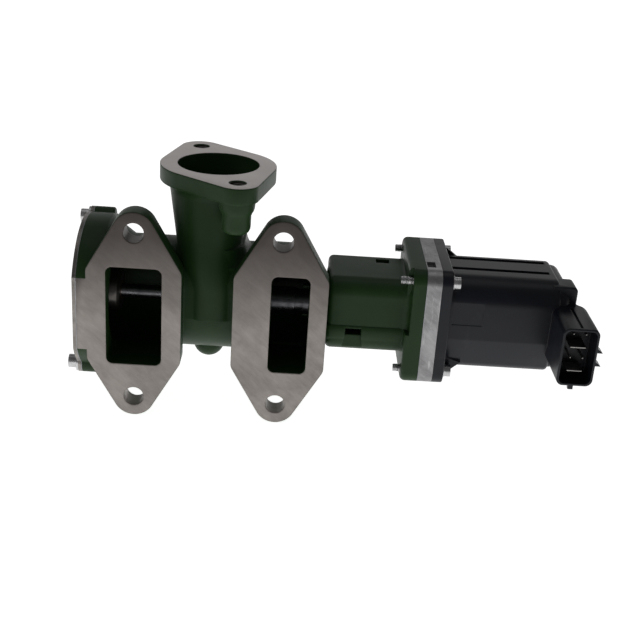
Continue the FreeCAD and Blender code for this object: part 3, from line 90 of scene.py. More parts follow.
def add_node(tree, kind, inputs=None, **settings):
    """A node with its settings, and its inputs set to values or linked to sockets."""
    node = tree.nodes.new(kind)
    for name, value in settings.items():
        setattr(node, name, value)
    for name, value in (inputs or {}).items():
        socket = node.inputs[name]
        if isinstance(value, bpy.types.NodeSocket):
            tree.links.new(value, socket)
        else:
            socket.default_value = value
    return node


def math_node(tree, operation, first, second=0.0, clamp=False):
    node = add_node(tree, "ShaderNodeMath", {0: first, 1: second}, operation=operation, use_clamp=clamp)
    return node.outputs[0]


def plus(tree, first, second):
    return math_node(tree, "ADD", first, second)


def minus(tree, first, second):
    return math_node(tree, "SUBTRACT", first, second)


def times(tree, first, second):
    return math_node(tree, "MULTIPLY", first, second)


def above(tree, value, limit):
    """One where the value is greater than the limit, nought elsewhere."""
    return math_node(tree, "GREATER_THAN", value, limit)


def ramp(tree, value, low, high, out_low=0.0, out_high=1.0):
    """Value stretched so that low becomes out_low and high becomes out_high."""
    node = add_node(tree, "ShaderNodeMapRange", {
        "Value": value, "From Min": low, "From Max": high, "To Min": out_low, "To Max": out_high})
    return node.outputs[0]


def mix(tree, share, first, second):
    """A colour that goes from the first to the second as the share goes from nought to one."""
    node = tree.nodes.new("ShaderNodeMix")
    node.data_type = "RGBA"
    for index, value in ((0, share), (6, first), (7, second)):
        if isinstance(value, bpy.types.NodeSocket):
            tree.links.new(value, node.inputs[index])
        else:
            node.inputs[index].default_value = value
    return node.outputs[2]


def mix_values(tree, share, first, second):
    """The same for plain values."""
    return add_node(tree, "ShaderNodeMix", {0: share, 2: first, 3: second}).outputs[0]


def noise(tree, where, scale, detail=4.0, rough=0.55, distortion=0.0):
    node = add_node(tree, "ShaderNodeTexNoise", {
        "Vector": where, "Scale": scale, "Detail": detail, "Roughness": rough, "Distortion": distortion})
    return node.outputs[0]


def add_numbers(tree, inputs):
    """Named number inputs of a group, with their usual values."""
    for label, value in inputs.items():
        socket = tree.interface.new_socket(name=label, in_out="INPUT", socket_type="NodeSocketFloat")
        socket.default_value = value


def group(name, inputs, outputs):
    """An empty shader group with named sockets; returns it with its two end nodes."""
    tree = bpy.data.node_groups.new(name, "ShaderNodeTree")
    add_numbers(tree, inputs)
    for label, kind in outputs.items():
        tree.interface.new_socket(name=label, in_out="OUTPUT", socket_type="NodeSocket" + kind)
    return tree, tree.nodes.new("NodeGroupInput").outputs, tree.nodes.new("NodeGroupOutput").inputs


def place_group(tree, used, **values):
    """A shared effect in a finish; its inputs are named as arguments, in small letters."""
    node = tree.nodes.new("ShaderNodeGroup")
    node.node_tree = used
    for name, value in values.items():
        node.inputs[name.replace("_", " ").capitalize()].default_value = value
    return node.outputs


def own_place(tree):
    """The place on the piece itself, in metres, so that patterns ride with it."""
    return tree.nodes.new("ShaderNodeTexCoord").outputs["Object"]


def own_xyz(tree):
    """The same place as three separate values."""
    return add_node(tree, "ShaderNodeSeparateXYZ", {0: own_place(tree)}).outputs


# Effects that several finishes share

def make_soft_edge():
    """Rounded look of sharp edges, and a mask of where they are, broken up by noise."""
    tree, given, out = group("soft_edge", {"Radius": 0.6, "Wear": 1.0}, {"Mask": "Float", "Normal": "Vector"})
    reach = times(tree, given["Radius"], MM)
    bevel = add_node(tree, "ShaderNodeBevel", {"Radius": reach}, samples=6).outputs[0]
    flat = tree.nodes.new("ShaderNodeNewGeometry").outputs["Normal"]
    turn = add_node(tree, "ShaderNodeVectorMath", {0: bevel, 1: flat}, operation="DOT_PRODUCT")
    edge = ramp(tree, turn.outputs["Value"], 0.995, 0.9)
    patches = ramp(tree, noise(tree, own_place(tree), 160.0), 0.38, 0.62)
    worn = math_node(tree, "MULTIPLY", times(tree, edge, patches), given["Wear"], clamp=True)
    tree.links.new(worn, out["Mask"])
    tree.links.new(bevel, out["Normal"])
    return tree


def make_cast_skin():
    """Fine sand-cast lumps and the slow mottle of paint over them."""
    tree, given, out = group("cast_skin", {"Grain": 900.0, "Lumps": 90.0},
                             {"Height": "Float", "Mottle": "Float"})
    place = own_place(tree)
    fine = noise(tree, place, given["Grain"], 3.0, 0.6)
    lumps = noise(tree, place, given["Lumps"], 4.0, 0.5)
    height = plus(tree, times(tree, fine, 0.35), times(tree, lumps, 0.65))
    tree.links.new(height, out["Height"])
    tree.links.new(ramp(tree, noise(tree, place, 22.0, 5.0, 0.6, 0.4), 0.3, 0.7), out["Mottle"])
    return tree


def make_milled_marks():
    """Overlapping arcs of a face mill with scratches, as height and tone."""
    tree, given, out = group("milled_marks", {"Pitch": 900.0, "Scratch": 60.0},
                             {"Height": "Float", "Tone": "Float"})
    place = own_place(tree)
    off_centre = add_node(tree, "ShaderNodeVectorMath", {0: place, 1: (0.21, 0.0, 0.09)}, operation="ADD")
    arcs = add_node(tree, "ShaderNodeTexWave", {
        "Vector": off_centre.outputs[0],
        "Scale": given["Pitch"], "Distortion": 1.2, "Detail": 2.0, "Detail Scale": 0.8},
        wave_type="RINGS", rings_direction="SPHERICAL").outputs["Fac"]
    slanted = add_node(tree, "ShaderNodeMapping", {
        "Vector": place, "Rotation": (0.0, 0.75, 0.0), "Scale": (4.0, 1.0, 1.0)}, vector_type="TEXTURE")
    scratches = noise(tree, slanted.outputs[0], times(tree, given["Scratch"], 4.0), 8.0, 0.75, 0.3)
    clouds = noise(tree, place, 40.0, 5.0, 0.6, 0.6)
    tone = plus(tree, times(tree, scratches, 0.5), times(tree, clouds, 0.5))
    height = plus(tree, times(tree, arcs, 0.4), times(tree, scratches, 0.6))
    tree.links.new(height, out["Height"])
    tree.links.new(ramp(tree, tone, 0.36, 0.64), out["Tone"])
    return tree


def make_turned_marks():
    """Fine rings round the stem's axis, as a lathe leaves them."""
    tree, given, out = group("turned_marks", {"Pitch": 1400.0}, {"Height": "Float", "Tone": "Float"})
    place = own_place(tree)
    rings = add_node(tree, "ShaderNodeTexWave", {
        "Vector": place, "Scale": given["Pitch"], "Distortion": 0.6, "Detail": 2.0},
        wave_type="BANDS", bands_direction="X").outputs["Fac"]
    tree.links.new(rings, out["Height"])
    tree.links.new(ramp(tree, noise(tree, place, 180.0, 5.0), 0.3, 0.7), out["Tone"])
    return tree


def make_grime():
    """Dust and soot as slow patches with a finer edge."""
    tree, given, out = group("grime", {"Scale": 40.0, "Cover": 0.5}, {"Mask": "Float"})
    patches = noise(tree, own_place(tree), given["Scale"], 7.0, 0.65, 0.5)
    edge = minus(tree, 1.0, given["Cover"])
    wide = plus(tree, edge, 0.25)
    tree.links.new(ramp(tree, patches, edge, wide), out["Mask"])
    return tree


SOFT_EDGE = make_soft_edge()
CAST_SKIN = make_cast_skin()
MILLED_MARKS = make_milled_marks()
TURNED_MARKS = make_turned_marks()
GRIME = make_grime()


def bump(tree, height, strength, distance, normal):
    """Small relief of a skin; its full distance is in millimetres."""
    return add_node(tree, "ShaderNodeBump", {
        "Height": height, "Strength": strength, "Distance": distance * MM, "Normal": normal}).outputs[0]


def new_finish(name, **constants):
    """A material with its Principled shader; constants go on its own sockets."""
    material = bpy.data.materials.new(name)
    material.use_nodes = True
    tree = material.node_tree
    shader = tree.nodes["Principled BSDF"]
    for label, value in constants.items():
        shader.inputs[label.replace("_", " ")].default_value = value
    return material, tree, shader.inputs


# Masks of the casting's bare places
MASK_REACH = 0.15            # millimetres that a mask goes past its face or hole


def near_axis(tree, across, up, middle, radius):
    """One inside a cylinder, nought outside; its middle and radius are in millimetres."""
    dx = minus(tree, across, middle[0] * MM)
    dy = minus(tree, up, middle[1] * MM)
    square = plus(tree, times(tree, dx, dx), times(tree, dy, dy))
    return math_node(tree, "LESS_THAN", square, (radius * MM) ** 2)


def any_of(tree, masks):
    """One where at least one of the masks is."""
    total = masks[0]
    for mask in masks[1:]:
        total = math_node(tree, "MAXIMUM", total, mask)
    return total


def bare_places(tree):
    """Where the casting is milled or drilled after painting."""
    x, y, z = own_xyz(tree)
    skin = tree.nodes.new("ShaderNodeNewGeometry").outputs["True Normal"]
    facing = add_node(tree, "ShaderNodeSeparateXYZ", {0: skin})
    level = math_node(tree, "LESS_THAN", math_node(tree, "ABSOLUTE", y), MASK_REACH * MM)
    front = times(tree, level, math_node(tree, "LESS_THAN", facing.outputs[1], -0.9))
    high = above(tree, z, (OUTLET_FACE - MASK_REACH) * MM)
    top = times(tree, high, above(tree, facing.outputs[2], 0.9))
    holes = [near_axis(tree, x, z, middle, BOLT_HOLE + MASK_REACH) for middle in INLET_HOLES]
    threads = [near_axis(tree, x, y, middle, THREAD_HOLE + MASK_REACH) for middle in OUTLET_THREADS]
    in_bosses = above(tree, z, 55 * MM)
    threads = [times(tree, thread, in_bosses) for thread in threads]
    return any_of(tree, [front, top] + holes), any_of(tree, threads)


def painted_casting():
    """Green paint on cast iron, with milled faces painted darker high up as shade under the outlet, and the
    outlet's face painted brighter as a reflection.
    """
    material, tree, shader = new_finish("green_paint_on_casting", Specular_IOR_Level=0.2)
    skin = place_group(tree, CAST_SKIN, grain=1100.0, lumps=120.0)
    edge = place_group(tree, SOFT_EDGE, radius=1.3, wear=0.5)
    mill = place_group(tree, MILLED_MARKS)
    dirt = place_group(tree, GRIME, scale=30.0, cover=0.42)
    paint = mix(tree, skin["Mottle"], (0.010, 0.030, 0.007, 1), (0.016, 0.046, 0.012, 1))
    rubbed_paint = (0.03, 0.06, 0.027, 1)
    paint = mix(tree, times(tree, edge["Mask"], 0.3), paint, rubbed_paint)
    metal = mix(tree, mill["Tone"], (0.205, 0.187, 0.173, 1), (0.315, 0.288, 0.268, 1))
    up = own_xyz(tree)[2]
    painted_shade_metal, outlet_painted_reflection = (0.085, 0.074, 0.068, 1), (0.62, 0.58, 0.56, 1)
    # painted shade: the milled faces get darker towards the top
    metal = mix(tree, ramp(tree, up, -5 * MM, 48 * MM), metal, painted_shade_metal)
    # painted reflection: the outlet's face is made much brighter than the other milled faces
    metal = mix(tree, above(tree, up, 75 * MM), metal, outlet_painted_reflection)
    stained_metal, thread_metal = (0.11, 0.097, 0.087, 1), (0.05, 0.045, 0.042, 1)
    metal = mix(tree, times(tree, dirt["Mask"], 0.35), metal, stained_metal)
    bare, thread = bare_places(tree)
    colour = mix(tree, bare, paint, metal)
    colour = mix(tree, thread, colour, thread_metal)
    any_metal = math_node(tree, "MAXIMUM", bare, thread)
    rough_paint = ramp(tree, skin["Mottle"], 0.0, 1.0, 0.5, 0.42)
    rough_metal = ramp(tree, mill["Tone"], 0.0, 1.0, 0.46, 0.36)
    rough = mix_values(tree, any_metal, rough_paint, rough_metal)
    height = mix_values(tree, any_metal, skin["Height"], mill["Height"])
    depth = ramp(tree, any_metal, 0.0, 1.0, 0.55, 0.12)
    tree.links.new(colour, shader["Base Color"])
    tree.links.new(rough, shader["Roughness"])
    tree.links.new(times(tree, any_metal, 0.8), shader["Metallic"])
    tree.links.new(bump(tree, height, depth, 0.12, edge["Normal"]), shader["Normal"])
    return material


def bare_metal(name, dark, light, rough, marks=TURNED_MARKS, depth=0.04, metallic=1.0):
    """Steel, aluminium or another bare metal with its machining marks and brighter edges."""
    material, tree, shader = new_finish(name, Metallic=metallic)
    mark = place_group(tree, marks)
    edge = place_group(tree, SOFT_EDGE, radius=0.3, wear=0.4)
    dirt = place_group(tree, GRIME, scale=70.0, cover=0.4)
    colour = mix(tree, mark["Tone"], (*dark, 1), (*light, 1))
    colour = mix(tree, times(tree, dirt["Mask"], 0.3), colour, (*[0.6 * c for c in dark], 1))
    colour = mix(tree, edge["Mask"], colour, (*[min(1.0, 1.3 * c) for c in light], 1))
    tree.links.new(colour, shader["Base Color"])
    tree.links.new(ramp(tree, mark["Tone"], 0.0, 1.0, rough + 0.07, rough - 0.05), shader["Roughness"])
    tree.links.new(bump(tree, mark["Height"], 0.5, depth, edge["Normal"]), shader["Normal"])
    return material


def worn_aluminium():
    """The adapter plate: sawn and milled edges with bright scratches along them."""
    material, tree, shader = new_finish("worn_aluminium", Metallic=0.9)
    mill = place_group(tree, MILLED_MARKS, pitch=700.0, scratch=90.0)
    edge = place_group(tree, SOFT_EDGE, radius=0.5, wear=0.8)
    stretched = add_node(tree, "ShaderNodeMapping", {
        "Vector": own_place(tree), "Scale": (1.0, 0.15, 0.12)}).outputs[0]
    nicks = ramp(tree, noise(tree, stretched, 420.0, 6.0, 0.7), 0.58, 0.66)
    colour = mix(tree, mill["Tone"], (0.2, 0.195, 0.2, 1), (0.36, 0.355, 0.36, 1))
    colour = mix(tree, times(tree, nicks, 0.45), colour, (0.62, 0.62, 0.62, 1))
    colour = mix(tree, edge["Mask"], colour, (0.5, 0.5, 0.5, 1))
    tree.links.new(colour, shader["Base Color"])
    tree.links.new(ramp(tree, mill["Tone"], 0.0, 1.0, 0.5, 0.34), shader["Roughness"])
    tree.links.new(bump(tree, mill["Height"], 0.35, 0.12, edge["Normal"]), shader["Normal"])
    return material


def moulded_plastic(name, dark, light, rough, grain=1500.0):
    """Plastic or rubber: fine grain, edges rubbed a little paler, and a breath of dust."""
    material, tree, shader = new_finish(name, Specular_IOR_Level=0.25)
    skin = place_group(tree, CAST_SKIN, grain=grain, lumps=260.0)
    edge = place_group(tree, SOFT_EDGE, radius=0.7, wear=0.5)
    dirt = place_group(tree, GRIME, scale=55.0, cover=0.42)
    colour = mix(tree, skin["Mottle"], (*dark, 1), (*light, 1))
    colour = mix(tree, times(tree, edge["Mask"], 0.35), colour, (0.09, 0.092, 0.10, 1))
    colour = mix(tree, times(tree, dirt["Mask"], 0.12), colour, (0.12, 0.12, 0.12, 1))
    tree.links.new(colour, shader["Base Color"])
    tree.links.new(ramp(tree, dirt["Mask"], 0.0, 1.0, rough, rough + 0.12), shader["Roughness"])
    tree.links.new(bump(tree, skin["Height"], 0.25, 0.05, edge["Normal"]), shader["Normal"])
    return material


METALS = {
    "zinc_steel": dict(dark=(0.32, 0.32, 0.33), light=(0.62, 0.62, 0.62), rough=0.26),
    "bright_steel": dict(dark=(0.46, 0.45, 0.44), light=(0.62, 0.61, 0.6), rough=0.16, depth=0.01),
    "heat_steel": dict(dark=(0.16, 0.15, 0.14), light=(0.3, 0.28, 0.26), rough=0.34),
    "seat_steel": dict(dark=(0.3, 0.28, 0.25), light=(0.45, 0.43, 0.39), rough=0.28),
    "bronze": dict(dark=(0.28, 0.16, 0.07), light=(0.46, 0.29, 0.13), rough=0.35),
    "gasket_steel": dict(dark=(0.2, 0.2, 0.21), light=(0.34, 0.34, 0.35), rough=0.42, marks=MILLED_MARKS),
    "spring_steel": dict(dark=(0.1, 0.1, 0.11), light=(0.22, 0.22, 0.23), rough=0.3),
    "core_steel": dict(dark=(0.18, 0.18, 0.19), light=(0.34, 0.34, 0.36), rough=0.4, depth=0.1),
    "copper": dict(dark=(0.42, 0.14, 0.05), light=(0.66, 0.27, 0.13), rough=0.3, depth=0.2),
    "magnet": dict(dark=(0.045, 0.045, 0.05), light=(0.09, 0.09, 0.1), rough=0.5, marks=MILLED_MARKS,
                   metallic=0.6),
    "tinned_copper": dict(dark=(0.25, 0.245, 0.23), light=(0.42, 0.41, 0.39), rough=0.4),
}
MOULDINGS = {
    "black_plastic": dict(dark=(0.006, 0.0068, 0.0105), light=(0.010, 0.0112, 0.0165), rough=0.34),
    "black_rubber": dict(dark=(0.01, 0.01, 0.01), light=(0.018, 0.018, 0.018), rough=0.6, grain=2200.0),
    "board": dict(dark=(0.006, 0.05, 0.02), light=(0.012, 0.08, 0.035), rough=0.35),
}
FINISHES = {"green_paint": painted_casting(), "cast_aluminium": worn_aluminium()}
FINISHES.update({name: bare_metal(name, **looks) for name, looks in METALS.items()})
FINISHES.update({name: moulded_plastic(name, **looks) for name, looks in MOULDINGS.items()})

# Pieces given a darker finish than their own: the end cover gets the dark heat_steel, and the stem and its
# guide, deep inside the ports, get a dark steel as painted shade
DARK_FINISH_AND_PAINTED_SHADE = {"end_cover": "heat_steel", "valve_shaft": "spring_steel", "guide_bushing": "spring_steel"}
for entry in frame["record"]["subparts"]:
    own = nodes[entry["node"]]
    own.data.materials.clear()
    own.data.materials.append(FINISHES[DARK_FINISH_AND_PAINTED_SHADE.get(entry["node"], entry["material_slot"])])


# Screws and threads from Geometry Nodes

def geometry_tree(name, sizes):
    """An empty tree for a shape that is grown on points; returns it with its two end nodes."""
    tree = bpy.data.node_groups.new(name, "GeometryNodeTree")
    tree.interface.new_socket(name="Geometry", in_out="INPUT", socket_type="NodeSocketGeometry")
    add_numbers(tree, sizes)
    tree.interface.new_socket(name="Turn", in_out="INPUT", socket_type="NodeSocketRotation")
    tree.interface.new_socket(name="Finish", in_out="INPUT", socket_type="NodeSocketMaterial")
    tree.interface.new_socket(name="Geometry", in_out="OUTPUT", socket_type="NodeSocketGeometry")
    return tree, tree.nodes.new("NodeGroupInput").outputs, tree.nodes.new("NodeGroupOutput").inputs


def raised(tree, shape, height):
    """The shape, moved up its own axis."""
    lift = add_node(tree, "ShaderNodeCombineXYZ", {"Z": height}).outputs[0]
    return add_node(tree, "GeometryNodeTransform", {"Geometry": shape, "Translation": lift}).outputs[0]


def copied(tree, shape, given, out):
    """A copy of the shape at each given point, turned and with its finish, as the tree's result."""
    copies = add_node(tree, "GeometryNodeInstanceOnPoints", {
        "Points": given["Geometry"], "Instance": shape, "Rotation": given["Turn"]})
    real = add_node(tree, "GeometryNodeRealizeInstances", {"Geometry": copies.outputs[0]})
    finished = add_node(tree, "GeometryNodeSetMaterial", {
        "Geometry": real.outputs[0], "Material": given["Finish"]})
    tree.links.new(finished.outputs[0], out[0])


def solid_round(tree, radius, depth, low, sides):
    """A cylinder that stands on a level of its own axis."""
    drum = add_node(tree, "GeometryNodeMeshCylinder", {"Vertices": sides, "Radius": radius, "Depth": depth})
    middle = plus(tree, low, times(tree, depth, 0.5))
    return raised(tree, drum.outputs["Mesh"], middle)


def helix(tree, radius, pitch, turns, low):
    """A thread's ridge: a small four-sided bar swept along a spiral."""
    rise = times(tree, pitch, turns)
    spiral = add_node(tree, "GeometryNodeCurveSpiral", {
        "Resolution": 20, "Rotations": turns, "Start Radius": radius, "End Radius": radius, "Height": rise})
    bar = add_node(tree, "GeometryNodeCurvePrimitiveCircle", {
        "Resolution": 4, "Radius": times(tree, pitch, 0.42)})
    ridge = add_node(tree, "GeometryNodeCurveToMesh", {
        "Curve": spiral.outputs[0], "Profile Curve": bar.outputs[0], "Fill Caps": True})
    return raised(tree, ridge.outputs[0], low)


def make_socket_screw_tree():
    """Socket head screw with its washer: the head stands up from nought, the shank hangs below it."""
    tree, given, out = geometry_tree("socket_screw", {
        "Head radius": 3.8 * MM, "Head height": 5.4 * MM, "Shank radius": 2.5 * MM, "Length": 20 * MM,
        "Pitch": 0.8 * MM, "Turns": 8.0, "Washer radius": 4.6 * MM, "Washer height": 1.0 * MM})
    head_low = given["Washer height"]
    head_tall = minus(tree, given["Head height"], head_low)
    head = solid_round(tree, given["Head radius"], head_tall, head_low, 48)
    socket_radius = times(tree, given["Head radius"], 0.55)
    socket = solid_round(tree, socket_radius, given["Head height"],
                         times(tree, given["Head height"], 0.5), 6)
    hollowed = add_node(tree, "GeometryNodeMeshBoolean", operation="DIFFERENCE")
    tree.links.new(head, hollowed.inputs[0])
    tree.links.new(socket, hollowed.inputs[1])
    washer = solid_round(tree, given["Washer radius"], given["Washer height"], 0.0, 48)
    core_radius = minus(tree, given["Shank radius"], times(tree, given["Pitch"], 0.5))
    down = times(tree, given["Length"], -1.0)
    core = solid_round(tree, core_radius, given["Length"], down, 32)
    ridge_radius = minus(tree, given["Shank radius"], times(tree, given["Pitch"], 0.42))
    start = plus(tree, down, times(tree, given["Pitch"], 0.5))
    ridge = helix(tree, ridge_radius, given["Pitch"], given["Turns"], start)
    whole = tree.nodes.new("GeometryNodeJoinGeometry")
    for part in (hollowed.outputs[0], washer, core, ridge):
        tree.links.new(part, whole.inputs[0])
    flat = add_node(tree, "GeometryNodeSetShadeSmooth", {"Geometry": whole.outputs[0], "Shade Smooth": False})
    copied(tree, flat.outputs[0], given, out)
    return tree


def make_inner_thread_tree():
    """The ridge of a tapped hole, which hangs down from each point."""
    tree, given, out = geometry_tree("inner_thread", {"Radius": 4.2 * MM, "Pitch": 1.5 * MM, "Turns": 12.0})
    depth = times(tree, given["Pitch"], given["Turns"])
    ridge = helix(tree, given["Radius"], given["Pitch"], given["Turns"], times(tree, depth, -1.0))
    copied(tree, ridge, given, out)
    return tree


def grown(name, tree, places, body, turn, finish, **sizes):
    """The tree's shape at each place as one plain mesh; places are in millimetres, sizes in metres."""
    mesh = bpy.data.meshes.new(name + "_places")
    mesh.from_pydata([[MM * value for value in place] for place in places], [], [])
    seed = bpy.data.objects.new(name + "_seed", mesh)
    scene.collection.objects.link(seed)
    modifier = seed.modifiers.new("grow", "NODES")
    modifier.node_group = tree
    wanted = {label.replace("_", " ").capitalize(): value for label, value in sizes.items()}
    for item in tree.interface.items_tree:
        if item.in_out != "INPUT" or item.name == "Geometry":
            continue
        if item.name in wanted:
            modifier[item.identifier] = wanted[item.name]
        elif item.name == "Turn":
            modifier[item.identifier] = turn
        elif item.name == "Finish":
            modifier[item.identifier] = FINISHES[finish]
    evaluated = seed.evaluated_get(bpy.context.evaluated_depsgraph_get())
    made = bpy.data.meshes.new_from_object(evaluated)
    bpy.data.objects.remove(seed)
    piece = bpy.data.objects.new(name, made)
    scene.collection.objects.link(piece)
    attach(piece, body)
    return piece


# Forms of the casting and the housing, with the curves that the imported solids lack, in millimetres

ROUND_STEPS = 96             # points of a belt outline
EDGE_STEPS = 4               # steps of a rounded edge
SHARP_ANGLE = math.radians(32)


def form(name, corners, faces):
    """A closed mesh with its faces turned outward."""
    mesh = bpy.data.meshes.new(name)
    mesh.from_pydata([[MM * value for value in corner] for corner in corners], [], faces)
    shell = bmesh.new()
    shell.from_mesh(mesh)
    bmesh.ops.recalc_face_normals(shell, faces=shell.faces)
    shell.to_mesh(mesh)
    shell.free()
    thing = bpy.data.objects.new(name, mesh)
    scene.collection.objects.link(thing)
    return thing


def through(name, rings):
    """A closed solid whose skin runs through rings of equally many points."""
    count = len(rings[0])
    faces = [tuple(range(count)), tuple((len(rings) - 1) * count + i for i in range(count))]
    for level in range(len(rings) - 1):
        low, high = level * count, (level + 1) * count
        faces += [(low + i, low + (i + 1) % count, high + (i + 1) % count, high + i) for i in range(count)]
    return form(name, [point for ring in rings for point in ring], faces)


def on_level(outline, axis, level):
    """Points of a flat outline, set on a level of one axis."""
    at = "XYZ".index(axis)
    return [(*point[:at], level, *point[at:]) for point in outline]


def round_outline(rounds, inset=0.0):
    """The belt round a set of discs, as points evenly turned; inset draws it in."""
    outline = []
    for i in range(ROUND_STEPS):
        turn = math.tau * (i + 0.5) / ROUND_STEPS
        across, up = math.cos(turn), math.sin(turn)
        u, v, radius = max(rounds, key=lambda disc: disc[0] * across + disc[1] * up + disc[2])
        reach = max(radius - inset, 0.02)
        outline.append((u + across * reach, v + up * reach))
    return outline


def box_rounds(u, v, half_u, half_v, corner):
    """Corner discs of a box with rounded corners."""
    return [(u + a * (half_u - corner), v + b * (half_v - corner), corner) for a in (-1, 1) for b in (-1, 1)]


def quarter(k, steps):
    """Sine and cosine of one of the equal steps over a quarter turn."""
    turn = math.pi / 2 * k / steps
    return math.sin(turn), math.cos(turn)


def slab(name, rounds, axis, low, high, low_edge=0.0, high_edge=0.0):
    """A plate of a belt outline with a rounded edge at either end."""
    rings = []
    for edge, end, sign in ((low_edge, low, 1), (high_edge, high, -1)):
        side = []
        for k in range(0 if edge else EDGE_STEPS, EDGE_STEPS + 1):
            sine, cosine = quarter(k, EDGE_STEPS)
            outline = round_outline(rounds, edge * (1 - sine))
            side.append(on_level(outline, axis, end + sign * edge * (1 - cosine)))
        rings += side if sign > 0 else side[::-1]
    return through(name, rings)


def block(name, low, high):
    """A plain box between two corners."""
    (_, near, foot), (_, far, head) = low, high
    return through(name, [[(x, near, foot), (x, far, foot), (x, far, head), (x, near, head)]
                          for x in (low[0], high[0])])


def wedge(name, outline, axis, low, high):
    """A prism of a plain outline between two levels of one axis."""
    return through(name, [on_level(outline, axis, low), on_level(outline, axis, high)])


def lathe(name, profile, axis="X", middle=(AXIS_BACK, 0.0)):
    """A turned solid; its profile gives place along the axis and radius."""
    return through(name, [on_level(round_outline([(*middle, 0.0)], -radius), axis, place)
                          for place, radius in profile])


def ball_end(shoulder, radius):
    """Profile of the round end of a boss, from its tip up to its shoulder."""
    turns = [quarter(k, 8) for k in range(9)]
    return [(shoulder - radius * cosine, max(radius * sine, 0.05)) for sine, cosine in turns]


def worked(name, base, added, taken):
    """The base with some solids joined to it and others cut away, as one mesh; the tools are removed."""
    for operation, tools in (("UNION", added), ("DIFFERENCE", taken)):
        for tool in tools:
            step = base.modifiers.new(tool.name, "BOOLEAN")
            step.operation, step.solver, step.object = operation, "MANIFOLD", tool
    made = bpy.data.meshes.new_from_object(base.evaluated_get(bpy.context.evaluated_depsgraph_get()))
    for tool in [base, *added, *taken]:
        bpy.data.objects.remove(tool)
    made.shade_smooth()
    made.set_sharp_from_angle(angle=SHARP_ANGLE)
    piece = bpy.data.objects.new(name, made)
    scene.collection.objects.link(piece)
    return piece


def dressed(piece, node, body, finish):
    """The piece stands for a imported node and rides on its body."""
    piece.data.materials.clear()
    piece.data.materials.append(FINISHES[finish])
    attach(piece, body)
    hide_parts(node)


# The casting

def neck_ring(half_width, half_depth, height, shift=NECK_SHIFT):
    """A level ring of the neck: two rounds of its half width, one in front and one behind."""
    apart = half_depth - half_width
    rounds = [(shift, AXIS_BACK - apart, half_width), (shift, AXIS_BACK + apart, half_width)]
    return on_level(round_outline(rounds), "Z", height)


def neck_forms():
    """Leaning, tapered neck with its flare, the column below it, and the saddle that it flows into."""
    column = [
        (19.4, 32.9, LEDGE, 1.3), (19.4, 32.9, 14.0, 1.3), (19.0, 32.3, 20.0, 0.3),
        (18.5, 31.2, 27.0, -1.2), (18.3, 30.0, 33.0, -2.1), (18.5, 29.0, 38.0, -2.1),
        (20.4, 28.0, 46.0, -1.7), (22.9, 27.0, 56.0, -1.1), (25.2, 26.1, 65.0, -0.5),
        (25.8, 26.3, 67.2, -0.3), (26.9, 27.2, 69.2, 0.1), (28.4, 28.6, 70.8, 0.6),
        (30.4, 30.4, 71.9, NECK_SHIFT)]
    saddle = [(26.4, 28.6, 12.0), (26.4, 28.6, 28.0)]
    for k in range(1, 9):
        sine, cosine = quarter(k, 8)
        saddle.append((26.4 - 9.2 * sine, 28.6 - sine, 28.0 + 10.0 * (1 - cosine)))
    return [through("neck_column", [neck_ring(*ring) for ring in column]),
            through("neck_saddle", [neck_ring(*ring) for ring in saddle])]


def outlet_forms():
    """Lozenge flange of the outlet and the two stepped bosses under its threads."""
    lobes = [(NECK_SHIFT, AXIS_BACK, 33.2)] + [(x, y, 12.0) for x, y in OUTLET_THREADS]
    boss = [(53.0, 4.6), (53.4, 6.0), (54.3, 7.1), (55.8, 7.8), (57.5, 8.0), (63.4, 8.1), (64.8, 8.6),
            (66.4, 9.5), (68.0, 9.9), (72.0, 10.2)]
    return [slab("outlet_flange", lobes, "Z", 71.7, OUTLET_FACE, 1.0, 0.25)] + [
        lathe("thread_boss", boss, "Z", place) for place in OUTLET_THREADS]


def spring_forms():
    """Flat-sided spring housing with its round belly, its flare and the square flange."""
    right = 118.0            # inside the square flange
    box = [(24.0, 14.2, 10.0), (56.0, 14.2, 10.0), (56.0, -11.0, 10.0), (24.0, -11.0, 10.0)]
    upper = slab("spring_box", box, "X", 68.38, right, 3.0)
    flare_start, flare_reach = 111.2, 5.0
    flare = []
    for k in range(7):
        sine, cosine = quarter(k, 6)
        outline = round_outline(box, -flare_reach * (1 - cosine))
        flare.append(on_level(outline, "X", flare_start + flare_reach * sine))
    belly = slab("belly_round", [(AXIS_BACK, 0.0, 22.7), (21.8, -7.5, 9.0)], "X", 67.6, right, 3.0)
    belly = worked("spring_belly", belly, [], [block("belly_top", (60.0, -10.0, LEDGE), (120.0, 30.0, 40.0))])
    corners = box_rounds(AXIS_BACK, 0.0, SQUARE_HALF, SQUARE_HALF, SQUARE_CORNER)
    square = slab("square_block", corners, "X", SQUARE_RIGHT - 10.0, SQUARE_RIGHT, 3.0, 0.3)
    relief = block("square_relief", (110.0, 0.0, LEDGE), (115.8, 13.6, 40.0))
    return [upper, through("spring_flare", flare), belly, worked("square_flange", square, [], [relief])]


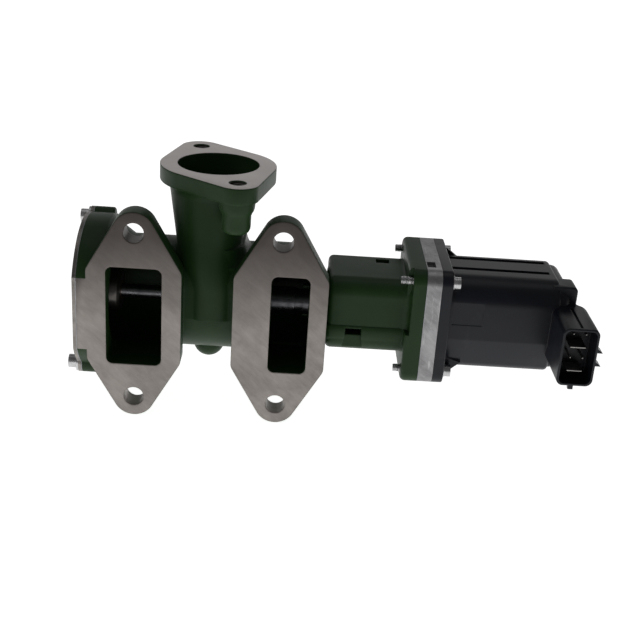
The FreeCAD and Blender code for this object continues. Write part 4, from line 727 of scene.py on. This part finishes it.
def casting_cuts():
    """What the shop takes away: the trim in front, bores, ports, holes and the spring housing's openings."""
    throat = [(14.6, 24.6, 0.0, 0.3), (14.6, 24.6, 36.0, -2.1), (21.8, 22.4, 65.0, -0.5),
              (23.35, 23.35, 69.5, NECK_SHIFT), (23.35, 23.35, 82.0, NECK_SHIFT)]
    taken = [
        block("front_trim", (-80.0, -60.0, -60.0), (-47.7, 0.0, 60.0)),
        lathe("stem_bore", [
            (-75.0, 34.0), (-69.0, 34.0), (-69.0, 30.1), (-24.2, 30.1), (-24.2, 21.8), (-16.7, 21.8),
            (-16.7, 17.5), (-14.2, 17.5), (-14.2, 24.0), (19.8, 24.0), (19.8, 19.8), (27.3, 19.8),
            (27.3, 15.5), (29.8, 15.5), (29.8, 28.0), (59.28, 28.0), (59.28, 10.0), (53.98, 10.0),
            (53.98, 8.0), (66.28, 8.0), (66.28, 9.5), (71.78, 9.5), (71.78, 21.0), (124.0, 21.0)]),
    ]
    for centre, half in PORTS:
        taken.append(slab("port", box_rounds(centre, 0.0, half, PORT_HALF_HEIGHT, 3.8), "Y", -1.0, AXIS_BACK))
    taken.append(through("outlet_throat", [neck_ring(*ring) for ring in throat]))
    for hole in INLET_HOLES:
        taken.append(lathe("bolt_hole", [(-1.0, BOLT_HOLE), (14.0, BOLT_HOLE)], "Y", hole))
    countersunk = [(59.2, THREAD_HOLE), (80.4, THREAD_HOLE), (82.0, 5.8)]
    taken += [lathe("outlet_thread", countersunk, "Z", hole) for hole in OUTLET_THREADS]
    for _, *hole in EAR_PLACES:
        taken.append(lathe("cover_thread", [(-74.0, 2.5), (-59.7, 2.5)], "X", hole))
    for _, *hole in SCREW_PLACES:
        taken.append(lathe("square_thread", [(104.0, 2.5), (124.0, 2.5)], "X", hole))
    taken += [
        wedge("vent_scoop", [(79.4, -9.6), (88.8, -9.6), (91.2, -24.0), (77.0, -24.0)], "Y", 0.0, 16.2),
        block("vent_window", (79.4, 0.0, -9.8), (88.8, 32.0, -4.8)),
        block("vent_slot", (96.6, 48.0, 15.0), (104.6, 54.0, 30.0)),
    ]
    return taken


def casting_form():
    """The casting: chambers, ducts and flanges joined, then machined."""
    skin = lathe("chamber_skin", [(-73.4, 45.5), (-61.2, 45.5), (-60.2, 45.2), (-56.7, 41.0), (-47.7, 34.7),
                                  (-20.85, 34.7), (-16.85, 30.2), (27.08, 30.2), (31.08, 34.7), (56.98, 34.7),
                                  (62.88, 26.2), (67.88, 16.0), (71.78, 16.0)])
    middle = [(AXIS_BACK + a * 14.2, 14.2, 16.0) for a in (-1, 1)]
    middle += [(AXIS_BACK + a * 30.2, LEDGE, 0.0) for a in (-1, 1)]
    added = [slab("middle_barrel", middle, "X", -21.4, 31.6)]
    for centre in INLETS:
        lozenge = [(centre + a * 19.8, b * 25.7, 7.0) for a in (-1, 1) for b in (-1, 1)]
        lozenge += [(centre, b * 50.0, 12.0) for b in (-1, 1)]
        added.append(slab("inlet_flange", lozenge, "Y", 0.0, 12.8, 0.2, 1.0))
    for centre, half in PORTS:
        corners = box_rounds(centre, 0.0, half + DUCT_WALL, PORT_HALF_HEIGHT + DUCT_WALL, 9.0)
        added.append(slab("duct", corners, "Y", 2.0, AXIS_BACK))
    added += neck_forms() + outlet_forms() + spring_forms()
    added.append(lathe("drain_boss", ball_end(-29.3, 9.3) + [(-15.0, 9.3)], "Z", (-1.5, AXIS_BACK)))
    for _, y, z in EAR_PLACES:
        inward = (AXIS_BACK + 0.8 * (y - AXIS_BACK), 0.8 * z, 7.5)
        added.append(slab("cover_lug", [(y, z, 6.0), inward], "X", -73.4, -61.2, 0.3, 1.5))
    return worked("casting_form", skin, added, casting_cuts())


# The actuator's housing and the terminals in its connector

# Middle across and up, half width and half height of each terminal
PINS = [(x, z, 0.5, 0.5) for x in (204.33, 211.33) for z in (12.75, -1.55)]
BLADES = [(TOWER, z, 4.5, 0.5) for z in (4.75, -9.55)]
TIP, SHOULDER, ROOT = -16.4, -15.4, 0.6     # of a terminal, along Y


def barrel_rounds(inset=0.0):
    """Discs of the barrel's belt: three round corners, the crisp edge in front and the low facet."""
    return [(53.5, -13.5, 15.5 - inset), (53.5, 13.5, 15.5 - inset), (26.5, 13.5, 15.5 - inset),
            (14.0, -6.0, 3.0 - inset), (26.0, -21.0, 8.0 - inset)]


def bar_forms(bars, room=0.0):
    """Flat terminals in the connector's mouth, each with its tip drawn in."""
    forms = []
    for x, z, half_width, half_height in bars:
        rings = []
        for y, drawn_in in ((TIP, 0.45 * half_height), (SHOULDER, 0.0), (ROOT, 0.0)):
            wide, tall = half_width - drawn_in + room, half_height - drawn_in + room
            rings.append([(x + a * wide, y, z + b * tall) for a, b in ((-1, -1), (1, -1), (1, 1), (-1, 1))])
        forms.append(through("terminal", rings))
    return forms


def housing_form():
    """Moulded housing: flange, facetted barrel with its cap, end block, connector shell, webs and grooves."""
    corners = box_rounds(AXIS_BACK, 0.0, SQUARE_HALF, SQUARE_HALF, SQUARE_CORNER)
    flange = slab("actuator_flange", corners, "X", ACTUATOR_LEFT, ACTUATOR_FACE, 0.3, 0.8)
    block_rounds = [(197.9, -17.0, 0.3), (211.8, -17.0, 0.3), (197.9, 27.1, 0.3), (209.1, 24.4, 3.0)]
    added = [
        slab("barrel", barrel_rounds(), "X", 133.0, 201.98, 0.0, 2.0),
        slab("barrel_cap", barrel_rounds(2.0), "X", 133.0, 208.28, 0.0, 5.0),
        slab("end_block", block_rounds, "Y", 17.0, 31.0, 1.0),
        slab("tower", box_rounds(TOWER, 0.0, 10.25, 17.3, 4.0), "Y", -20.0, 30.0, 0.5),
        wedge("top_web", [(137.0, 25.0), (149.3, 25.0), (137.0, 34.6)], "Y", 58.0, 61.0),
        wedge("low_web", [(137.0, -25.0), (149.3, -25.0), (137.0, -34.6)], "Y", 40.0, 43.0),
        wedge("front_web", [(137.0, -20.0), (149.3, -24.0), (137.0, -34.6)], "Y", 17.0, 20.0),
        block("foot_tab", (204.8, -20.0, -19.4), (207.6, -17.4, -16.5)),
    ]
    for low in (3.4, -4.6):
        added.append(wedge("latch", [(217.6, low), (221.2, low), (217.6, low + 2.9)], "Y", -19.6, -12.0))
    shoulder = [(220.0, 8.2), (212.1, 16.6), (212.1, 34.0), (225.0, 34.0), (225.0, 8.2), (218.08, 8.2)]
    motor_bore = [(130.0, 28.5), (133.88, 28.5), (133.88, 24.5), (193.88, 24.5), (193.88, 14.0),
                  (200.88, 14.0)]
    taken = [
        wedge("shoulder", shoulder, "Z", -20.0, 20.0),
        block("key_slot", (207.0, -18.4, 16.2), (208.6, 11.0, 18.0)),
        slab("mouth", box_rounds(TOWER, 0.0, 8.95, 16.0, 3.3), "Y", -21.0, -5.0),
        block("front_panel", (140.3, 10.0, 2.4), (158.0, 11.25, 16.0)),
        lathe("motor_bore", motor_bore),
    ]
    for rear in (32.0, 49.5):
        taken.append(block("top_groove", (ACTUATOR_FACE, rear, 27.6), (198.0, rear + 4.0, 31.0)))
    for _, *hole in SCREW_PLACES:
        taken.append(lathe("screw_hole", [(130.0, 2.9), (139.0, 2.9)], "X", hole))
    taken += bar_forms(PINS + BLADES, 0.03)
    return worked("housing_form", flange, added, taken)


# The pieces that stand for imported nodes

SOCKET_SCREW = make_socket_screw_tree()
actuator_screws = grown(
    "actuator_screw_set", SOCKET_SCREW, SCREW_PLACES, "casting", (0.0, math.pi / 2, 0.0), "zinc_steel",
    head_radius=3.6 * MM, head_height=4.6 * MM, shank_radius=2.45 * MM, length=29.4 * MM,
    pitch=0.8 * MM, turns=14.0, washer_radius=4.2 * MM, washer_height=0.9 * MM)
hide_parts("actuator_screws")
cover_screws = grown(
    "cover_screw_set", SOCKET_SCREW, EAR_PLACES, "casting", (0.0, -math.pi / 2, 0.0), "zinc_steel",
    head_radius=4.0 * MM, head_height=6.2 * MM, shank_radius=2.45 * MM, length=15.9 * MM,
    pitch=0.8 * MM, turns=12.0, washer_radius=5.7 * MM, washer_height=1.3 * MM)
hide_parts("cover_screws")
dressed(casting_form(), "valve_body", "casting", "green_paint")
dressed(housing_form(), "actuator_housing", "casting", "black_plastic")
for node, bars in (("signal_pins", PINS), ("power_blades", BLADES)):
    first, *rest = bar_forms(bars)
    dressed(worked(node + "_form", first, rest, []), node, "casting", "tinned_copper")
thread_tops = [(x, y, OUTLET_FACE - 1.5) for x, y in OUTLET_THREADS]
grown("outlet_thread_set", make_inner_thread_tree(), thread_tops, "casting", (0.0, 0.0, 0.0), "heat_steel",
      radius=4.2 * MM, pitch=1.5 * MM, turns=12.0)


# Floor, light and camera

FLOOR_HALF = 6.0             # metres
FLOOR_DROP = 0.5 * MM
# Each light's place, what it looks at, its width and height in metres, and its power in watts
LIGHTS = {
    "back_light": ((0.1, 2.4, 0.9), (0.05, 0.0, 0.1), (3.2, 1.5), 6.0),
    "top_light": ((0.1, 0.3, 2.0), (0.05, 0.0, 0.0), (1.6, 1.2), 3.0),
    "left_light": ((-1.8, -0.2, 1.0), (0.0, 0.0, 0.0), (1.0, 1.0), 2.0),
    "front_light": ((-0.7, -1.1, 0.5), (0.05, 0.0, 0.0), (0.6, 0.4), 0.15),
}
CAMERA_PLACE = (0.04821, -0.56986, 0.24849)  # metres
CAMERA_TURNS = (1.597, 23.117, 4.0557)      # yaw, pitch downward and roll, in degrees
CAMERA_LENS, SENSOR_WIDTH = 61.64, 36.0     # millimetres


def pale_floor():
    """A wide floor that shines a little, so that it stays as white as the photograph's; less so in front."""
    low = cad_box[0].z - FLOOR_DROP
    corners = [(a * FLOOR_HALF, b * FLOOR_HALF, low) for a, b in ((-1, -1), (1, -1), (1, 1), (-1, 1))]
    mesh = bpy.data.meshes.new("floor")
    mesh.from_pydata(corners, [], [(0, 1, 2, 3)])
    floor = bpy.data.objects.new("floor", mesh)
    scene.collection.objects.link(floor)
    material, tree, shader = new_finish("pale_floor", Roughness=0.9, Specular_IOR_Level=0.1,
                                        Emission_Strength=0.95)
    tone = noise(tree, own_place(tree), 3.0, 2.0)
    white = mix(tree, tone, (0.95, 0.95, 0.95, 1), (0.98, 0.98, 0.98, 1))
    tree.links.new(white, shader["Base Color"])
    glow = mix(tree, ramp(tree, own_xyz(tree)[1], -0.9, -0.25), (0.3, 0.3, 0.3, 1), white)
    tree.links.new(glow, shader["Emission Color"])
    mesh.materials.append(material)


def soft_light(name, place, target, size, power):
    """A rectangular lamp at a place, turned toward its target."""
    lamp = bpy.data.lights.new(name, "AREA")
    lamp.shape, lamp.size, lamp.size_y, lamp.energy = "RECTANGLE", *size, power
    thing = bpy.data.objects.new(name, lamp)
    scene.collection.objects.link(thing)
    thing.location = place
    thing.rotation_mode = "QUATERNION"
    thing.rotation_quaternion = (Vector(target) - Vector(place)).to_track_quat("-Z", "Y")


def pale_surroundings(strength):
    """Even white light from all round."""
    world = bpy.data.worlds.new("pale_surroundings")
    world.use_nodes = True
    background = world.node_tree.nodes["Background"].inputs
    background["Color"].default_value = (1.0, 1.0, 1.0, 1.0)
    background["Strength"].default_value = strength
    scene.world = world


def matched_camera():
    """The photograph's camera: its place, turn, pitch, roll and lens."""
    yaw, pitch, roll = (math.radians(value) for value in CAMERA_TURNS)
    ahead = Vector((math.sin(yaw) * math.cos(pitch), math.cos(yaw) * math.cos(pitch), -math.sin(pitch)))
    level = Vector((math.cos(yaw), -math.sin(yaw), 0.0))
    upright = level.cross(ahead)
    right = level * math.cos(roll) + upright * math.sin(roll)
    up = upright * math.cos(roll) - level * math.sin(roll)
    camera = bpy.data.objects.new("camera", bpy.data.cameras.new("camera"))
    scene.collection.objects.link(camera)
    camera.data.sensor_width = SENSOR_WIDTH
    camera.data.lens = CAMERA_LENS
    camera.data.clip_start, camera.data.clip_end = 0.01, 50.0
    turned = Matrix((right, up, -ahead)).transposed().to_4x4()
    camera.matrix_world = Matrix.Translation(CAMERA_PLACE) @ turned
    scene.camera = camera


scene.view_settings.view_transform = "Standard"
pale_floor()
pale_surroundings(0.13)
for name, setting in LIGHTS.items():
    soft_light(name, *setting)
matched_camera()
